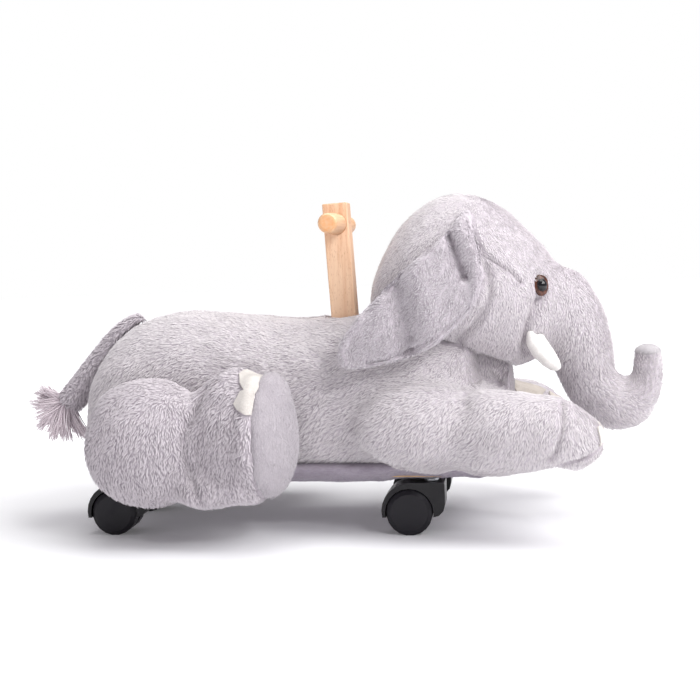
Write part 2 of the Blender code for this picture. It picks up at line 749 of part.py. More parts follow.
def make_post_fixings(post):
    """Two steel angles, the cross bolt through them and the post, its nut and two screws."""
    cheek = POST_WIDTH / 2 + GAP
    bolt_z = DECK_Z + BOLT_HEIGHT
    bolt_x = post_point(bolt_z).x
    for side, sign in SIDES.items():
        upright = box_mesh(
            "angle_upright", (BRACKET_WIDTH, BRACKET_THICKNESS, BRACKET_HEIGHT),
            (POST_FOOT_X, sign * (cheek + BRACKET_THICKNESS / 2), DECK_Z + BRACKET_HEIGHT / 2),
        )
        flange_width = BRACKET_THICKNESS / 2 + BRACKET_FLANGE
        flange = box_mesh(
            "angle_flange", (BRACKET_WIDTH, flange_width, BRACKET_THICKNESS),
            (POST_FOOT_X, sign * (cheek + BRACKET_THICKNESS / 2 + flange_width / 2),
             DECK_Z + BRACKET_THICKNESS / 2),
        )
        bracket = add_object(f"post_bracket_{side}", upright, STEEL)
        join(bracket, flange)
        centre = (bolt_x, sign * cheek, bolt_z)
        cut(bracket, rod_mesh("bolt_hole", BOLT_RADIUS + GAP, 2 * OVERRUN, centre, Y_AXIS))
        screw_place = (POST_FOOT_X, sign * screw_y(), DECK_Z)
        cut(bracket, rod_mesh("screw_hole", SCREW_RADIUS + GAP, 2 * OVERRUN, screw_place, segments=12))

        top = BRACKET_THICKNESS + GAP
        profile = [
            (0, top + SCREW_HEAD), (SCREW_HEAD_RADIUS - SCREW_HEAD / 2, top + SCREW_HEAD),
            (SCREW_HEAD_RADIUS, top + SCREW_HEAD / 2), (SCREW_HEAD_RADIUS, top), (SCREW_RADIUS, top),
            (SCREW_RADIUS, top - SCREW_LENGTH + SCREW_RADIUS), (0, top - SCREW_LENGTH),
        ]
        screw = turned(f"bracket_screw_{side}", profile, STEEL, steps=12)
        screw.location = screw_place

    outside = cheek + BRACKET_THICKNESS + GAP
    length = 2 * outside + NUT_THICKNESS + BOLT_TAIL
    shank = rod_mesh(
        "bolt_shank", BOLT_RADIUS, length + BOLT_HEAD / 2,
        (bolt_x, -outside - BOLT_HEAD / 2 + (length + BOLT_HEAD / 2) / 2, bolt_z), Y_AXIS,
    )
    head = rod_mesh(
        "bolt_head", BOLT_HEAD_RADIUS, BOLT_HEAD, (bolt_x, -outside - BOLT_HEAD / 2, bolt_z), Y_AXIS, 6
    )
    bolt = add_object("post_cross_bolt", head, STEEL)
    join(bolt, shank)
    nut_mesh = rod_mesh(
        "nut", BOLT_HEAD_RADIUS, NUT_THICKNESS, (bolt_x, outside + NUT_THICKNESS / 2, bolt_z), Y_AXIS, 6
    )
    nut = add_object("post_cross_nut", nut_mesh, STEEL)
    cut(nut, rod_mesh("nut_bore", BOLT_RADIUS + GAP, 4 * outside, (bolt_x, 0, bolt_z), Y_AXIS))
    cut(post, rod_mesh("cross_bore", BOLT_RADIUS + GAP, 4 * outside, (bolt_x, 0, bolt_z), Y_AXIS))


def make_foam(body):
    """Foam block on the board with room for the post and its brackets; the body's pocket."""
    bolt_space = BRACKET_THICKNESS + 2 * GAP + max(BOLT_HEAD, NUT_THICKNESS + BOLT_TAIL)
    room_width = 2 * max(
        POST_WIDTH / 2 + GAP + BRACKET_THICKNESS + BRACKET_FLANGE, POST_WIDTH / 2 + bolt_space
    ) + 2 * FOAM_POCKET_MARGIN
    room_length = BRACKET_WIDTH + 2 * FOAM_POCKET_MARGIN
    room_height = BRACKET_HEIGHT + FOAM_POCKET_MARGIN
    centre = (BOARD_X, 0, DECK_Z + FOAM_HEIGHT / 2)
    foam = rounded_slab(
        "foam_core", FOAM_LENGTH, FOAM_WIDTH, FOAM_HEIGHT, FOAM_CORNER, FOAM, centre
    )
    pocket = grown(foam)
    room = box_mesh(
        "bracket_room", (room_length, room_width, room_height + OVERRUN),
        (POST_FOOT_X, 0, DECK_Z - OVERRUN + (room_height + OVERRUN) / 2),
    )
    slot = as_cutter(post_mesh("post_slot", clearance=GAP, overrun=OVERRUN))
    cut(foam, room, slot)
    cut(body, pocket, slot)
    return foam


def caster_places():
    """The stem of each caster, as (x, y)."""
    places = {}
    for end, x in (("front", FRONT_STEM_X), ("rear", REAR_STEM_X)):
        for side, sign in SIDES.items():
            places[f"{end}_{side}"] = (x, sign * CASTER_TRACK / 2)
    return places


def hood_outline(inset=0.0):
    """The hood's side view about the axle, without its wheel opening, inset all round."""
    tip_angle = math.asin(HOOD_LIP_DROP / (WHEEL_RADIUS + HOOD_CLEARANCE + HOOD_WALL))
    small = WHEEL_RADIUS + HOOD_CLEARANCE + HOOD_WALL - inset
    top = HOOD_RISE - inset
    front = HOOD_REACH - inset
    corner = HOOD_TOP_CORNER
    low_centre = (HOOD_REACH - HOOD_CORNER, HOOD_CORNER - HOOD_LIP_DROP)
    outline = arc((0, 0), (top, small), math.pi / 2, math.pi + tip_angle, 7)
    lower = arc(low_centre, HOOD_CORNER - inset, -math.pi / 2, 0, 3)
    upper = arc((front - corner, top - corner), corner, 0, math.pi / 2, 2)
    return outline + lower + upper


def make_hood(name, parent):
    """Hood over both wheels with a web between them, a stem socket and an axle hole."""
    opening_radius = WHEEL_RADIUS + HOOD_CLEARANCE
    hood = extruded(name, hood_outline(), HOOD_WIDTH, NYLON, parent)
    opening = rod_mesh("wheel_opening", opening_radius, HOOD_WIDTH + 2 * OVERRUN, (0, 0, 0), Y_AXIS, 20)
    web = extruded(f"{name}_web", hood_outline(HOOD_WALL / 2), WEB_THICKNESS, NYLON, parent)
    web_mesh = web.data
    bpy.data.objects.remove(web, do_unlink=True)
    cut(hood, opening)
    join(hood, web_mesh)
    cut(hood, rod_mesh("axle_hole", AXLE_RADIUS + GAP, 2 * OVERRUN, (0, 0, 0), Y_AXIS))
    depth = STEM_SOCKET + OVERRUN
    socket = rod_mesh(
        "stem_socket", STEM_RADIUS + GAP, depth, (TRAIL, 0, HOOD_RISE - STEM_SOCKET + depth / 2)
    )
    cut(hood, socket)
    shade(hood, math.radians(25))
    return hood


def make_wheel(name, sign, parent):
    """One wheel: domed outer face, bevelled rim, hollow inner side and a blind hub bore."""
    inner = WEB_THICKNESS / 2 + RUNNING_GAP
    outer = inner + WHEEL_WIDTH
    tread = WHEEL_RADIUS / math.cos(math.pi / WHEEL_FACETS)
    rim = tread - WHEEL_RIM
    bore = AXLE_RADIUS + GAP
    profile = [
        (0, outer), (WHEEL_FACE_RADIUS, outer - WHEEL_CROWN), (tread, outer - WHEEL_CROWN - WHEEL_BEVEL),
        (tread, inner), (rim, inner), (rim, inner + WHEEL_RECESS),
        (WHEEL_HUB_RADIUS, inner + WHEEL_RECESS), (WHEEL_HUB_RADIUS, inner), (bore, inner),
        (bore, inner + WHEEL_BORE_DEPTH), (0, inner + WHEEL_BORE_DEPTH),
    ]
    wheel = turned(name, profile, NYLON, WHEEL_FACETS, parent=parent)
    half_facet = Matrix.Rotation(math.pi / WHEEL_FACETS, 4, "Z")
    outward = Matrix.Rotation(-sign * math.pi / 2, 4, "X")
    wheel.matrix_local = outward @ half_facet
    return wheel


def make_caster(corner, x, y):
    """A caster: tee nut and stem stay with the board, the rest swivels under them."""
    nut_profile = [
        (STEM_RADIUS + GAP, 0), (TEE_NUT_FLANGE_RADIUS, 0), (TEE_NUT_FLANGE_RADIUS, -TEE_NUT_FLANGE),
        (TEE_NUT_BARREL_RADIUS, -TEE_NUT_FLANGE), (TEE_NUT_BARREL_RADIUS, -TEE_NUT_HEIGHT),
        (STEM_RADIUS + GAP, -TEE_NUT_HEIGHT),
    ]
    nut = turned(f"{corner}_tee_nut", nut_profile, STEEL, steps=12, closed=True)
    nut.location = (x, y, BOARD_TOP_Z)

    foot = HOOD_TOP_Z - STEM_SOCKET + GAP
    stem_profile = [
        (0, BOARD_TOP_Z), (STEM_RADIUS, BOARD_TOP_Z), (STEM_RADIUS, COLLAR_Z + COLLAR_HEIGHT),
        (COLLAR_RADIUS, COLLAR_Z + COLLAR_HEIGHT), (COLLAR_RADIUS, COLLAR_Z), (STEM_RADIUS, COLLAR_Z),
        (STEM_RADIUS, foot), (0, foot),
    ]
    stem = turned(f"{corner}_stem", stem_profile, STEEL, steps=12)
    stem.location = (x, y, 0)

    swivel = bpy.data.objects.new(f"{corner}_swivel", None)
    PART.objects.link(swivel)
    swivel.location = (x, y, 0)
    axle_frame = bpy.data.objects.new(f"{corner}_axle_frame", None)
    PART.objects.link(axle_frame)
    axle_frame.parent = swivel
    axle_frame.location = (-TRAIL, 0, AXLE_Z)

    make_hood(f"{corner}_hood", axle_frame)
    axle_length = WEB_THICKNESS + 2 * (RUNNING_GAP + WHEEL_BORE_DEPTH - GAP)
    axle_mesh = rod_mesh(f"{corner}_axle", AXLE_RADIUS, axle_length, (0, 0, 0), Y_AXIS)
    shade(add_object(f"{corner}_axle", axle_mesh, STEEL, axle_frame))
    for side, sign in SIDES.items():
        make_wheel(f"{corner}_wheel_{side}", sign, axle_frame)


def head_point(along, aside, rise):
    """A point by shares of the head's length, half width and height."""
    return Vector(
        (HEAD_REAR_X + along * HEAD_LENGTH, aside * HEAD_WIDTH / 2, HEAD_Z + rise * HEAD_HEIGHT)
    )


def side_point(shares, sign):
    """The point of a triple of shares on one side of the head."""
    along, aside, rise = shares
    return head_point(along, sign * aside, rise)


def make_head(outer_body):
    rings = [
        section(
            head_point(along, 0, (low + high) / 2), wide * HEAD_WIDTH / 2,
            (high - low) * HEAD_HEIGHT / 2, FORM_SIDES,
        )
        for along, wide, low, high in HEAD_STATION_SHARES
    ]
    head = soft_form("head", rings, PILE)
    outer_head = grown(head)
    cut(head, outer_body)
    return head, outer_head


def make_trunk(outer_head):
    """Trunk hanging from the face and curling up, with a pale disc over its end."""
    root = head_point(*TRUNK_ROOT_SHARES)
    stations = [
        (
            root + Vector((along * TRUNK_LENGTH, 0, -down * TRUNK_DROP)),
            wide * TRUNK_WIDTH / 2,
            thick * TRUNK_WIDTH / 2,
        )
        for along, down, wide, thick in TRUNK_STATION_SHARES
    ]
    trunk = bent_form("trunk", stations, PILE, LIMB_SIDES, flat_ends=(False, True))
    outer_trunk = grown(trunk)
    cut(trunk, outer_head)

    end, half_width, half_thickness = stations[-1]
    tangent = (end - stations[-2][0]).normalized()
    side = Y_AXIS
    back = tangent.cross(side)
    rings = [
        section(
            end + tangent * (GAP + share * TRUNK_CAP), half_width * size, half_thickness * size,
            LIMB_SIDES, across=side, up=back,
        )
        for share, size in TRUNK_CAP_SHARES
    ]
    soft_form("trunk_tip", rings, SOLE_PILE, flat_ends=(True, False))
    return outer_trunk


def ear_stations(sign):
    """The ear's stations: it hangs from the top of the head, back and down along its side."""
    root = head_point(EAR_ROOT_SHARES[0], 0, EAR_ROOT_SHARES[1])
    down = Vector((-math.cos(EAR_SLANT), 0, -math.sin(EAR_SLANT)))
    across = Vector((math.sin(EAR_SLANT), 0, -math.cos(EAR_SLANT)))
    stations = []
    for along, middle, wide, thick, aside in EAR_STATION_SHARES:
        centre = root + down * along * EAR_LENGTH + across * middle * EAR_WIDTH
        centre.y = sign * aside * EAR_SPREAD
        stations.append((centre, wide * EAR_WIDTH / 2, thick * EAR_THICKNESS / 2))
    return stations, across


def make_ears(cutters):
    for side, sign in SIDES.items():
        stations, across = ear_stations(sign)
        ear = bent_form(f"ear_{side}", stations, PILE, LIMB_SIDES, across=across)
        cut(ear, *cutters)


def make_eyes(head):
    """Plastic safety eyes: a dome outside, a stem through the face, a washer behind it."""
    for side, sign in SIDES.items():
        seat = side_point(EYE_SEAT_SHARES, sign)
        normal = Vector((EYE_AIM_SHARES[0], sign * EYE_AIM_SHARES[1], EYE_AIM_SHARES[2])).normalized()
        turn = Z_AXIS.rotation_difference(normal).to_matrix().to_4x4()
        place = Matrix.Translation(seat) @ turn
        dome = [
            (EYE_RADIUS * math.sin(a), EYE_DOME * math.cos(a)) for a in (i * math.pi / 10 for i in range(6))
        ]
        back = -EYE_SINK
        eye_profile = dome + [
            (EYE_RADIUS, back), (EYE_STEM_RADIUS, back), (EYE_STEM_RADIUS, back - EYE_STEM),
            (0, back - EYE_STEM),
        ]
        eye = turned(f"eye_{side}", eye_profile, EYE_PLASTIC, steps=16)
        eye.matrix_local = place
        washer_top = back - EYE_WASHER_BACK
        bore = EYE_STEM_RADIUS + GAP
        washer_profile = [
            (bore, washer_top), (EYE_WASHER_RADIUS, washer_top),
            (EYE_WASHER_RADIUS, washer_top - EYE_WASHER), (bore, washer_top - EYE_WASHER),
        ]
        washer = turned(f"eye_washer_{side}", washer_profile, WASHER_PLASTIC, steps=16, closed=True)
        washer.matrix_local = place
        room = EYE_WASHER + 2 * GAP
        room_middle = place @ Vector((0, 0, washer_top + GAP - room / 2))
        washer_room = rod_mesh("washer_room", EYE_WASHER_RADIUS + GAP, room, room_middle, normal)
        cut(head, grown(eye), washer_room)


def make_tusks(cutters):
    for side, sign in SIDES.items():
        root = side_point(TUSK_ROOT_SHARES, sign)
        aim = (side_point(TUSK_TIP_SHARES, sign) - root).normalized()
        stations = [
            (root + aim * share * TUSK_LENGTH, size * TUSK_RADIUS, size * TUSK_RADIUS)
            for share, size in TUSK_STATION_SHARES
        ]
        tusk = bent_form(f"tusk_{side}", stations, WHITE_FELT, SMALL_SIDES)
        cut(tusk, *cutters)


def make_front_legs(outer_body):
    """Front legs reaching forward from the shoulders, each with a sole pad under its foot."""
    outer_legs = []
    sole_along, sole_up = FRONT_SOLE_PLACE_SHARES
    shoulder_x = BODY_FRONT_X - SHOULDER_SHARE * BODY_LENGTH
    for side, sign in SIDES.items():
        base = Vector((shoulder_x, sign * BODY_WIDTH / 2, BELLY_Z))
        turn = Matrix.Rotation(sign * FRONT_SPLAY[side], 3, "Z")
        stations = []
        for along, out, rise, wide, high in FRONT_LEG_STATION_SHARES:
            reach = Vector(
                (along * FRONT_LEG_REACH[side], sign * out * FRONT_LEG_SPREAD, rise * FRONT_LEG_HEIGHT)
            )
            centre = base + turn @ reach
            stations.append((centre, wide * FRONT_LEG_WIDTH / 2, high * FRONT_LEG_HEIGHT / 2))
        leg = bent_form(f"front_leg_{side}", stations, PILE, LIMB_SIDES, across=turn @ Y_AXIS)
        outer_leg = grown(leg)
        outer_legs.append(outer_leg)
        cut(leg, outer_body)

        facing = turn @ Vector((math.sin(FRONT_SOLE_PITCH), 0, -math.cos(FRONT_SOLE_PITCH)))
        forward = turn @ Vector((math.cos(FRONT_SOLE_PITCH), 0, math.sin(FRONT_SOLE_PITCH)))
        middle = base + turn @ Vector(
            (sole_along * FRONT_LEG_REACH[side], sign * FRONT_LEG_SPREAD, sole_up * FRONT_LEG_HEIGHT)
        )
        rings = [
            section(
                middle + facing * (share - 0.5) * FRONT_SOLE_THICKNESS, size * FRONT_SOLE_WIDTH / 2,
                size * FRONT_SOLE_LENGTH / 2, LIMB_SIDES, across=turn @ Y_AXIS, up=forward,
            )
            for share, size in FRONT_SOLE_STATION_SHARES
        ]
        sole = soft_form(f"front_sole_{side}", rings, SOLE_PILE)
        cut(sole, outer_leg)
    return outer_legs


def make_rear_legs(outer_body):
    """Rear legs folded forward: thigh, foot and a bulging round sole that faces forward."""
    for side, sign in SIDES.items():
        yaw = Matrix.Rotation(sign * FOOT_YAW, 3, "Z")
        forward = yaw @ X_AXIS
        across = yaw @ Y_AXIS
        heel = Vector(
            (HEEL_X, sign * (BODY_WIDTH / 2 + FOOT_SPREAD - FOOT_LENGTH * math.sin(FOOT_YAW)),
             HOOD_TOP_Z + HEEL_RISE_SHARE * FOOT_HEIGHT)
        )
        rings = [
            section(
                heel + forward * along * FOOT_LENGTH, wide * FOOT_WIDTH / 2, high * FOOT_HEIGHT / 2,
                LIMB_SIDES, across=across,
            )
            for along, wide, high in FOOT_STATION_SHARES
        ]
        foot = soft_form(f"rear_foot_{side}", rings, PILE, flat_ends=(False, True))
        outer_foot = grown(foot)
        cut(foot, outer_body)

        face = heel + forward * (FOOT_LENGTH + GAP)
        sole_rings = [
            section(
                face + forward * along * FOOT_SOLE_BULGE, wide * FOOT_WIDTH / 2, high * FOOT_HEIGHT / 2,
                LIMB_SIDES, across=across,
            )
            for along, wide, high in SOLE_STATION_SHARES
        ]
        sole = soft_form(f"rear_sole_{side}", sole_rings, SOLE_PILE, flat_ends=(True, False))
        cut(sole, outer_body)

        middle = Vector(
            (THIGH_X, sign * (BODY_WIDTH / 2 + THIGH_SPREAD), HOOD_TOP_Z + THIGH_HEIGHT / 2 - THIGH_DROP)
        )
        thigh_rings = [
            section(
                middle + X_AXIS * along * THIGH_LENGTH, wide * THIGH_WIDTH / 2, high * THIGH_HEIGHT / 2,
                LIMB_SIDES,
            )
            for along, wide, high in THIGH_STATION_SHARES
        ]
        thigh = soft_form(f"rear_leg_{side}", thigh_rings, PILE)
        sweep_radius = SWIVEL_SWEEP + 2 * RUNNING_GAP
        well_height = BELLY_Z + OVERRUN
        well = rod_mesh(
            "swivel_well", sweep_radius, well_height,
            (REAR_STEM_X, sign * CASTER_TRACK / 2, BELLY_Z - well_height / 2), segments=32,
        )
        cut(thigh, outer_body, outer_foot, well)


def make_tail(outer_body):
    along, up = TAIL_ROOT_SHARES
    root = Vector((BODY_REAR_X + along * BODY_LENGTH, 0, BELLY_Z + up * BODY_HEIGHT))
    stations = [
        (root + Vector((-back * TAIL_LENGTH, 0, -down * TAIL_DROP)), size * TAIL_RADIUS, size * TAIL_RADIUS)
        for back, down, size in TAIL_STATION_SHARES
    ]
    tail = bent_form("tail", stations, PILE, SMALL_SIDES, flat_ends=(False, True))
    outer_tail = grown(tail)
    cut(tail, outer_body)
    aim = Vector((TUFT_AIM_SHARES[0], 0, TUFT_AIM_SHARES[1])).normalized()
    start = stations[-1][0] - aim * TAIL_RADIUS / 4
    tuft_stations = [
        (start + aim * along * TUFT_LENGTH, size * TUFT_RADIUS, size * TUFT_RADIUS)
        for along, size in TUFT_STATION_SHARES
    ]
    tuft = bent_form("tail_tuft", tuft_stations, TUFT_YARN, SMALL_SIDES)
    cut(tuft, outer_tail)


def build():
    board = make_board()
    body, tray, outer_body = make_body()
    fit_belly_cover(tray, board)
    post, dowel = make_handle()
    make_post_fixings(post)
    make_foam(body)
    for corner, (x, y) in caster_places().items():
        make_caster(corner, x, y)
    head, outer_head = make_head(outer_body)
    outer_trunk = make_trunk(outer_head)
    outer_legs = make_front_legs(outer_body)
    make_ears([outer_body, outer_head, *outer_legs])
    make_eyes(head)
    make_tusks([outer_head, outer_trunk])
    make_rear_legs(outer_body)
    make_tail(outer_body)


clear_scene()
PART = make_collection("plush_ride_on_elephant")
CUTTERS = make_collection("cutters")
build()
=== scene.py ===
"""A grey plush ride-on elephant on four twin-wheel casters: its looks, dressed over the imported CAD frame.

Each stuffed form starts from its CAD solid. The cloth is drawn in a little, blown out by a short
cloth simulation, sewn in along its seams, and covered with locks of pile that are laid one by one.
The wood, the steel and most of the nylon are CAD nodes with finishes of their own.
"""

import logging
import math
from dataclasses import dataclass, field, replace
from enum import Enum
from typing import Iterable, Sequence

import bmesh
import bpy
import numpy as np
from mathutils import Matrix, Vector, kdtree, noise
from mathutils.bvhtree import BVHTree
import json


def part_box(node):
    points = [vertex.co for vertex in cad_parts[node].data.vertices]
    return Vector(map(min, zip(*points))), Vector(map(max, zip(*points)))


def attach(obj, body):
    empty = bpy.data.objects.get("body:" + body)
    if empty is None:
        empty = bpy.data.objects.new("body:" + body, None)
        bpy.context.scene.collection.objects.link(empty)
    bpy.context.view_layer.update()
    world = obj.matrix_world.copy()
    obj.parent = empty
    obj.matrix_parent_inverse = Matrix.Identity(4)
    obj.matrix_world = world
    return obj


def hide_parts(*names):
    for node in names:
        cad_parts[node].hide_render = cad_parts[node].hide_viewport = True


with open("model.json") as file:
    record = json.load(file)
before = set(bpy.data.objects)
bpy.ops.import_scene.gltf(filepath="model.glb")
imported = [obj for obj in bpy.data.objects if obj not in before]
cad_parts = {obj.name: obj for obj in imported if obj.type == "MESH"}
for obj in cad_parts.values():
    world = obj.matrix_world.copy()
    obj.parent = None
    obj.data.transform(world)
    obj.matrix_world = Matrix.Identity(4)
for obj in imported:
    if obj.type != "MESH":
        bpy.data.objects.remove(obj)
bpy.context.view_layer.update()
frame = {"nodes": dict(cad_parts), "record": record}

LOG = logging.getLogger("ride_on")
MM = 0.001
IMAGE_SIZE = 700
ANIMAL = "animal"
PILE_MAP = "OFBake"
MOST_FACES = 190_000
FEET_FROM_MIDDLE = 0.082
TUFT_TONES = 0.012
ROOM_FOR_PILE = 0.0045
ROOT_DEPTH = 0.0006
CELL_SHARE = 0.86
TRIES_PER_TUFT = 5
BROAD_PATCH = 0.022
TONE_RANGE = (0.02, 0.97)

Point = tuple[float, float, float]
Colour = tuple[float, float, float]


def srgb(red: int, green: int, blue: int) -> Colour:
    """A colour read off a picture, from 0 to 255, as linear light."""
    return tuple(((c / 255 + 0.055) / 1.055) ** 2.4 if c > 10 else c / 255 / 12.92 for c in (red, green, blue))


class Value:
    """A number socket of a shader. Arithmetic on it adds the Math nodes that the expression needs."""

    def __init__(self, graph: "Graph", socket: bpy.types.NodeSocket) -> None:
        """Keeps the graph and the socket."""
        self.graph = graph
        self.socket = socket

    def _math(self, operation: str, *operands: "Value | float") -> "Value":
        """One Math node.

        Args:
            operation: Blender's name of the operation.
            operands: the values or numbers, in order.

        Returns:
            The node's result.
        """
        node = self.graph.add("ShaderNodeMath", dict(enumerate(operands)), operation=operation)
        return Value(self.graph, node.outputs[0])

    def __add__(self, other: "Value | float") -> "Value":
        """This plus the other."""
        return self._math("ADD", self, other)

    __radd__ = __add__

    def __sub__(self, other: "Value | float") -> "Value":
        """This minus the other."""
        return self._math("SUBTRACT", self, other)

    def __rsub__(self, other: float) -> "Value":
        """A number minus this."""
        return self._math("SUBTRACT", other, self)

    def __mul__(self, other: "Value | float") -> "Value":
        """This times the other."""
        return self._math("MULTIPLY", self, other)

    __rmul__ = __mul__

    def above(self, low: float, high: float) -> "Value":
        """A smooth step from 0 at the low number to 1 at the high one."""
        node = self.graph.add("ShaderNodeMapRange", {"Value": self, "From Min": low, "From Max": high},
                              interpolation_type="SMOOTHSTEP")
        return Value(self.graph, node.outputs["Result"])


class Graph:
    """A tree of nodes, made through one method."""

    def __init__(self, tree: bpy.types.NodeTree) -> None:
        """Keeps the tree's nodes and links."""
        self.nodes, self.links = tree.nodes, tree.links

    def add(self, kind: str, inputs: dict | None = None, **settings: object) -> bpy.types.Node:
        """Makes a node.

        Args:
            kind: Blender's name of the node type.
            inputs: what goes into each socket, by name or number: a number, a colour, a Value or a socket.
            settings: properties of the node, which are set first.

        Returns:
            The node.
        """
        node = self.nodes.new(kind)
        for name, setting in settings.items():
            setattr(node, name, setting)
        for name, given in (inputs or {}).items():
            socket = node.inputs[name]
            given = given.socket if isinstance(given, Value) else given
            if isinstance(given, bpy.types.NodeSocket):
                self.links.new(given, socket)
            elif isinstance(given, tuple) and len(given) == 3 and socket.type == "RGBA":
                socket.default_value = (*given, 1)
            else:
                socket.default_value = given
        return node


class Shader(Graph):
    """A material's nodes."""

    def __init__(self, name: str) -> None:
        """Makes the material, with an output and no shader yet."""
        self.material = bpy.data.materials.new(name)
        self.material.use_nodes = True
        super().__init__(self.material.node_tree)
        self.nodes.clear()
        self.output = self.nodes.new("ShaderNodeOutputMaterial")

    def place(self, scale: Point = (1, 1, 1), turn: Point = (0, 0, 0)) -> bpy.types.NodeSocket:
        """Object coordinates, turned (in radians) and stretched by a Mapping node where they need it."""
        where = self.add("ShaderNodeTexCoord").outputs["Object"]
        if (scale, turn) == ((1, 1, 1), (0, 0, 0)):
            return where
        return self.add("ShaderNodeMapping", {"Vector": where, "Scale": scale, "Rotation": turn}).outputs["Vector"]

    def noise(self, scale: float, detail: float = 2, rough: float = 0.5, stretch: Point = (1, 1, 1),
              turn: Point = (0, 0, 0)) -> Value:
        """Noise from 0 to 1 in object coordinates.

        Args:
            scale: the number of bumps to the metre.
            detail: how many finer layers it has.
            rough: how strong these are.
            stretch: a number below 1 draws the bumps out along its axis.
            turn: the turn of the bumps about each axis, in radians.

        Returns:
            The noise.
        """
        return Value(self, self.add("ShaderNodeTexNoise", {"Vector": self.place(stretch, turn), "Scale": scale,
                                                           "Detail": detail, "Roughness": rough}).outputs["Fac"])

    def facing(self, axis: int) -> Value:
        """How far the surface faces along an axis of the object: 0 when it doesn't, 1 when it does."""
        normal = self.add("ShaderNodeNewGeometry").outputs["True Normal"]
        along = Value(self, self.add("ShaderNodeSeparateXYZ", {0: normal}).outputs[axis])
        return along * along

    def mix(self, share: "Value | float", first: "bpy.types.NodeSocket | Colour",
            second: "bpy.types.NodeSocket | Colour", way: str = "MIX") -> bpy.types.NodeSocket:
        """One colour mixed into another.

        Args:
            share: how much of the second colour, from 0 to 1.
            first: the first colour.
            second: the second colour.
            way: Blender's name of the way to mix.

        Returns:
            The colour socket.
        """
        return self.add("ShaderNodeMix", {0: share, 6: first, 7: second}, data_type="RGBA",
                        blend_type=way).outputs[2]

    def bump(self, height: Value, depth: float) -> bpy.types.NodeSocket:
        """A normal from a height of 0 to 1 that stands for so many metres."""
        return self.add("ShaderNodeBump", {"Strength": 1.0, "Distance": depth, "Height": height}).outputs[0]

    def finish(self, **sockets: object) -> bpy.types.Material:
        """Adds the surface shader.

        Args:
            sockets: the shader's sockets, with underscores for the spaces in their names.

        Returns:
            The material.
        """
        inputs = {name.replace("_", " "): given for name, given in sockets.items()}
        self.links.new(self.add("ShaderNodeBsdfPrincipled", inputs).outputs[0], self.output.inputs[0])
        return self.material


@dataclass(frozen=True)
class Finish:
    """A finish that makes its material once: its main colour, and the colour that varies it."""

    name: str
    main: Colour
    other: Colour

    def shade(self) -> bpy.types.Material:
        """Makes the material."""
        raise NotImplementedError

    def material(self) -> bpy.types.Material:
        """The material, made at its first use."""
        return bpy.data.materials.get(self.name) or self.shade()


@dataclass(frozen=True)
class Pile(Finish):
    """The fibres of the plush: the main colour at the root, the other at the tip, in many tones down to the darkest."""

    darkest: float = 0.78

    def shade(self) -> bpy.types.Material:
        """The map's first number runs up the fibre, and its second is the lock's tone."""
        s = Shader(self.name)
        split = s.add("ShaderNodeSeparateXYZ", {0: s.add("ShaderNodeUVMap", uv_map=PILE_MAP).outputs[0]})
        up, tone = Value(s, split.outputs[0]), Value(s, split.outputs[1])
        shade = tone * (1 - self.darkest) + self.darkest
        grey = s.add("ShaderNodeCombineColor", {0: shade, 1: shade, 2: shade}).outputs[0]
        colour = s.mix(1.0, s.mix(up.above(0.0, 0.7), self.main, self.other), grey, "MULTIPLY")
        return s.finish(Base_Color=colour, Roughness=0.85, Sheen_Weight=0.35, Sheen_Roughness=0.5,
                        Specular_IOR_Level=0.25)


class Backing(Finish):
    """The knitted cloth that the pile stands in, which shows dark between the locks."""

    def shade(self) -> bpy.types.Material:
        """Soft mottling at the size of the locks, over a fine knit."""
        s = Shader(self.name)
        locks = s.noise(140, 3, 0.6)
        return s.finish(Base_Color=s.mix(locks.above(0.35, 0.65), self.other, self.main), Roughness=0.95,
                        Sheen_Weight=0.3, Specular_IOR_Level=0.2, Normal=s.bump(locks, 0.0012))


@dataclass(frozen=True)
class ShortPile(Finish):
    """Short smooth plush: strokes of the nap, soft patches where it was brushed, and a fine grain."""

    nap: Point = (1.0, 1.0, 0.25)
    contrast: float = 1.0

    def shade(self) -> bpy.types.Material:
        """Strokes run along the axis with the smallest number of nap."""
        s = Shader(self.name)
        strokes, patches, grain = s.noise(620, 3, 0.65, self.nap), s.noise(55), s.noise(2600, 1)
        half = 0.2 / self.contrast
        colour = s.mix((strokes * 0.55 + patches * 0.45).above(0.5 - half, 0.5 + half), self.other, self.main)
        return s.finish(Base_Color=colour, Roughness=0.9, Sheen_Weight=0.45, Sheen_Roughness=0.4,
                        Specular_IOR_Level=0.2, Normal=s.bump(strokes * 0.6 + grain * 0.4, 0.0006))


class Felt(Finish):
    """White felt for the tusks and toenails: matted fibres that cross."""

    def shade(self) -> bpy.types.Material:
        """Two layers of stretched noise lie across each other."""
        s = Shader(self.name)
        fibres = (s.noise(1500, 2, 0.6, (1, 1, 0.2)) * 0.5
                  + s.noise(1300, 2, 0.6, (0.2, 1, 1), (0.4, 0.6, 0.2)) * 0.5)
        colour = s.mix((fibres * 0.6 + s.noise(60) * 0.4).above(0.35, 0.65), self.other, self.main)
        return s.finish(Base_Color=colour, Roughness=0.95, Sheen_Weight=0.3, Specular_IOR_Level=0.2,
                        Normal=s.bump(fibres, 0.0004))


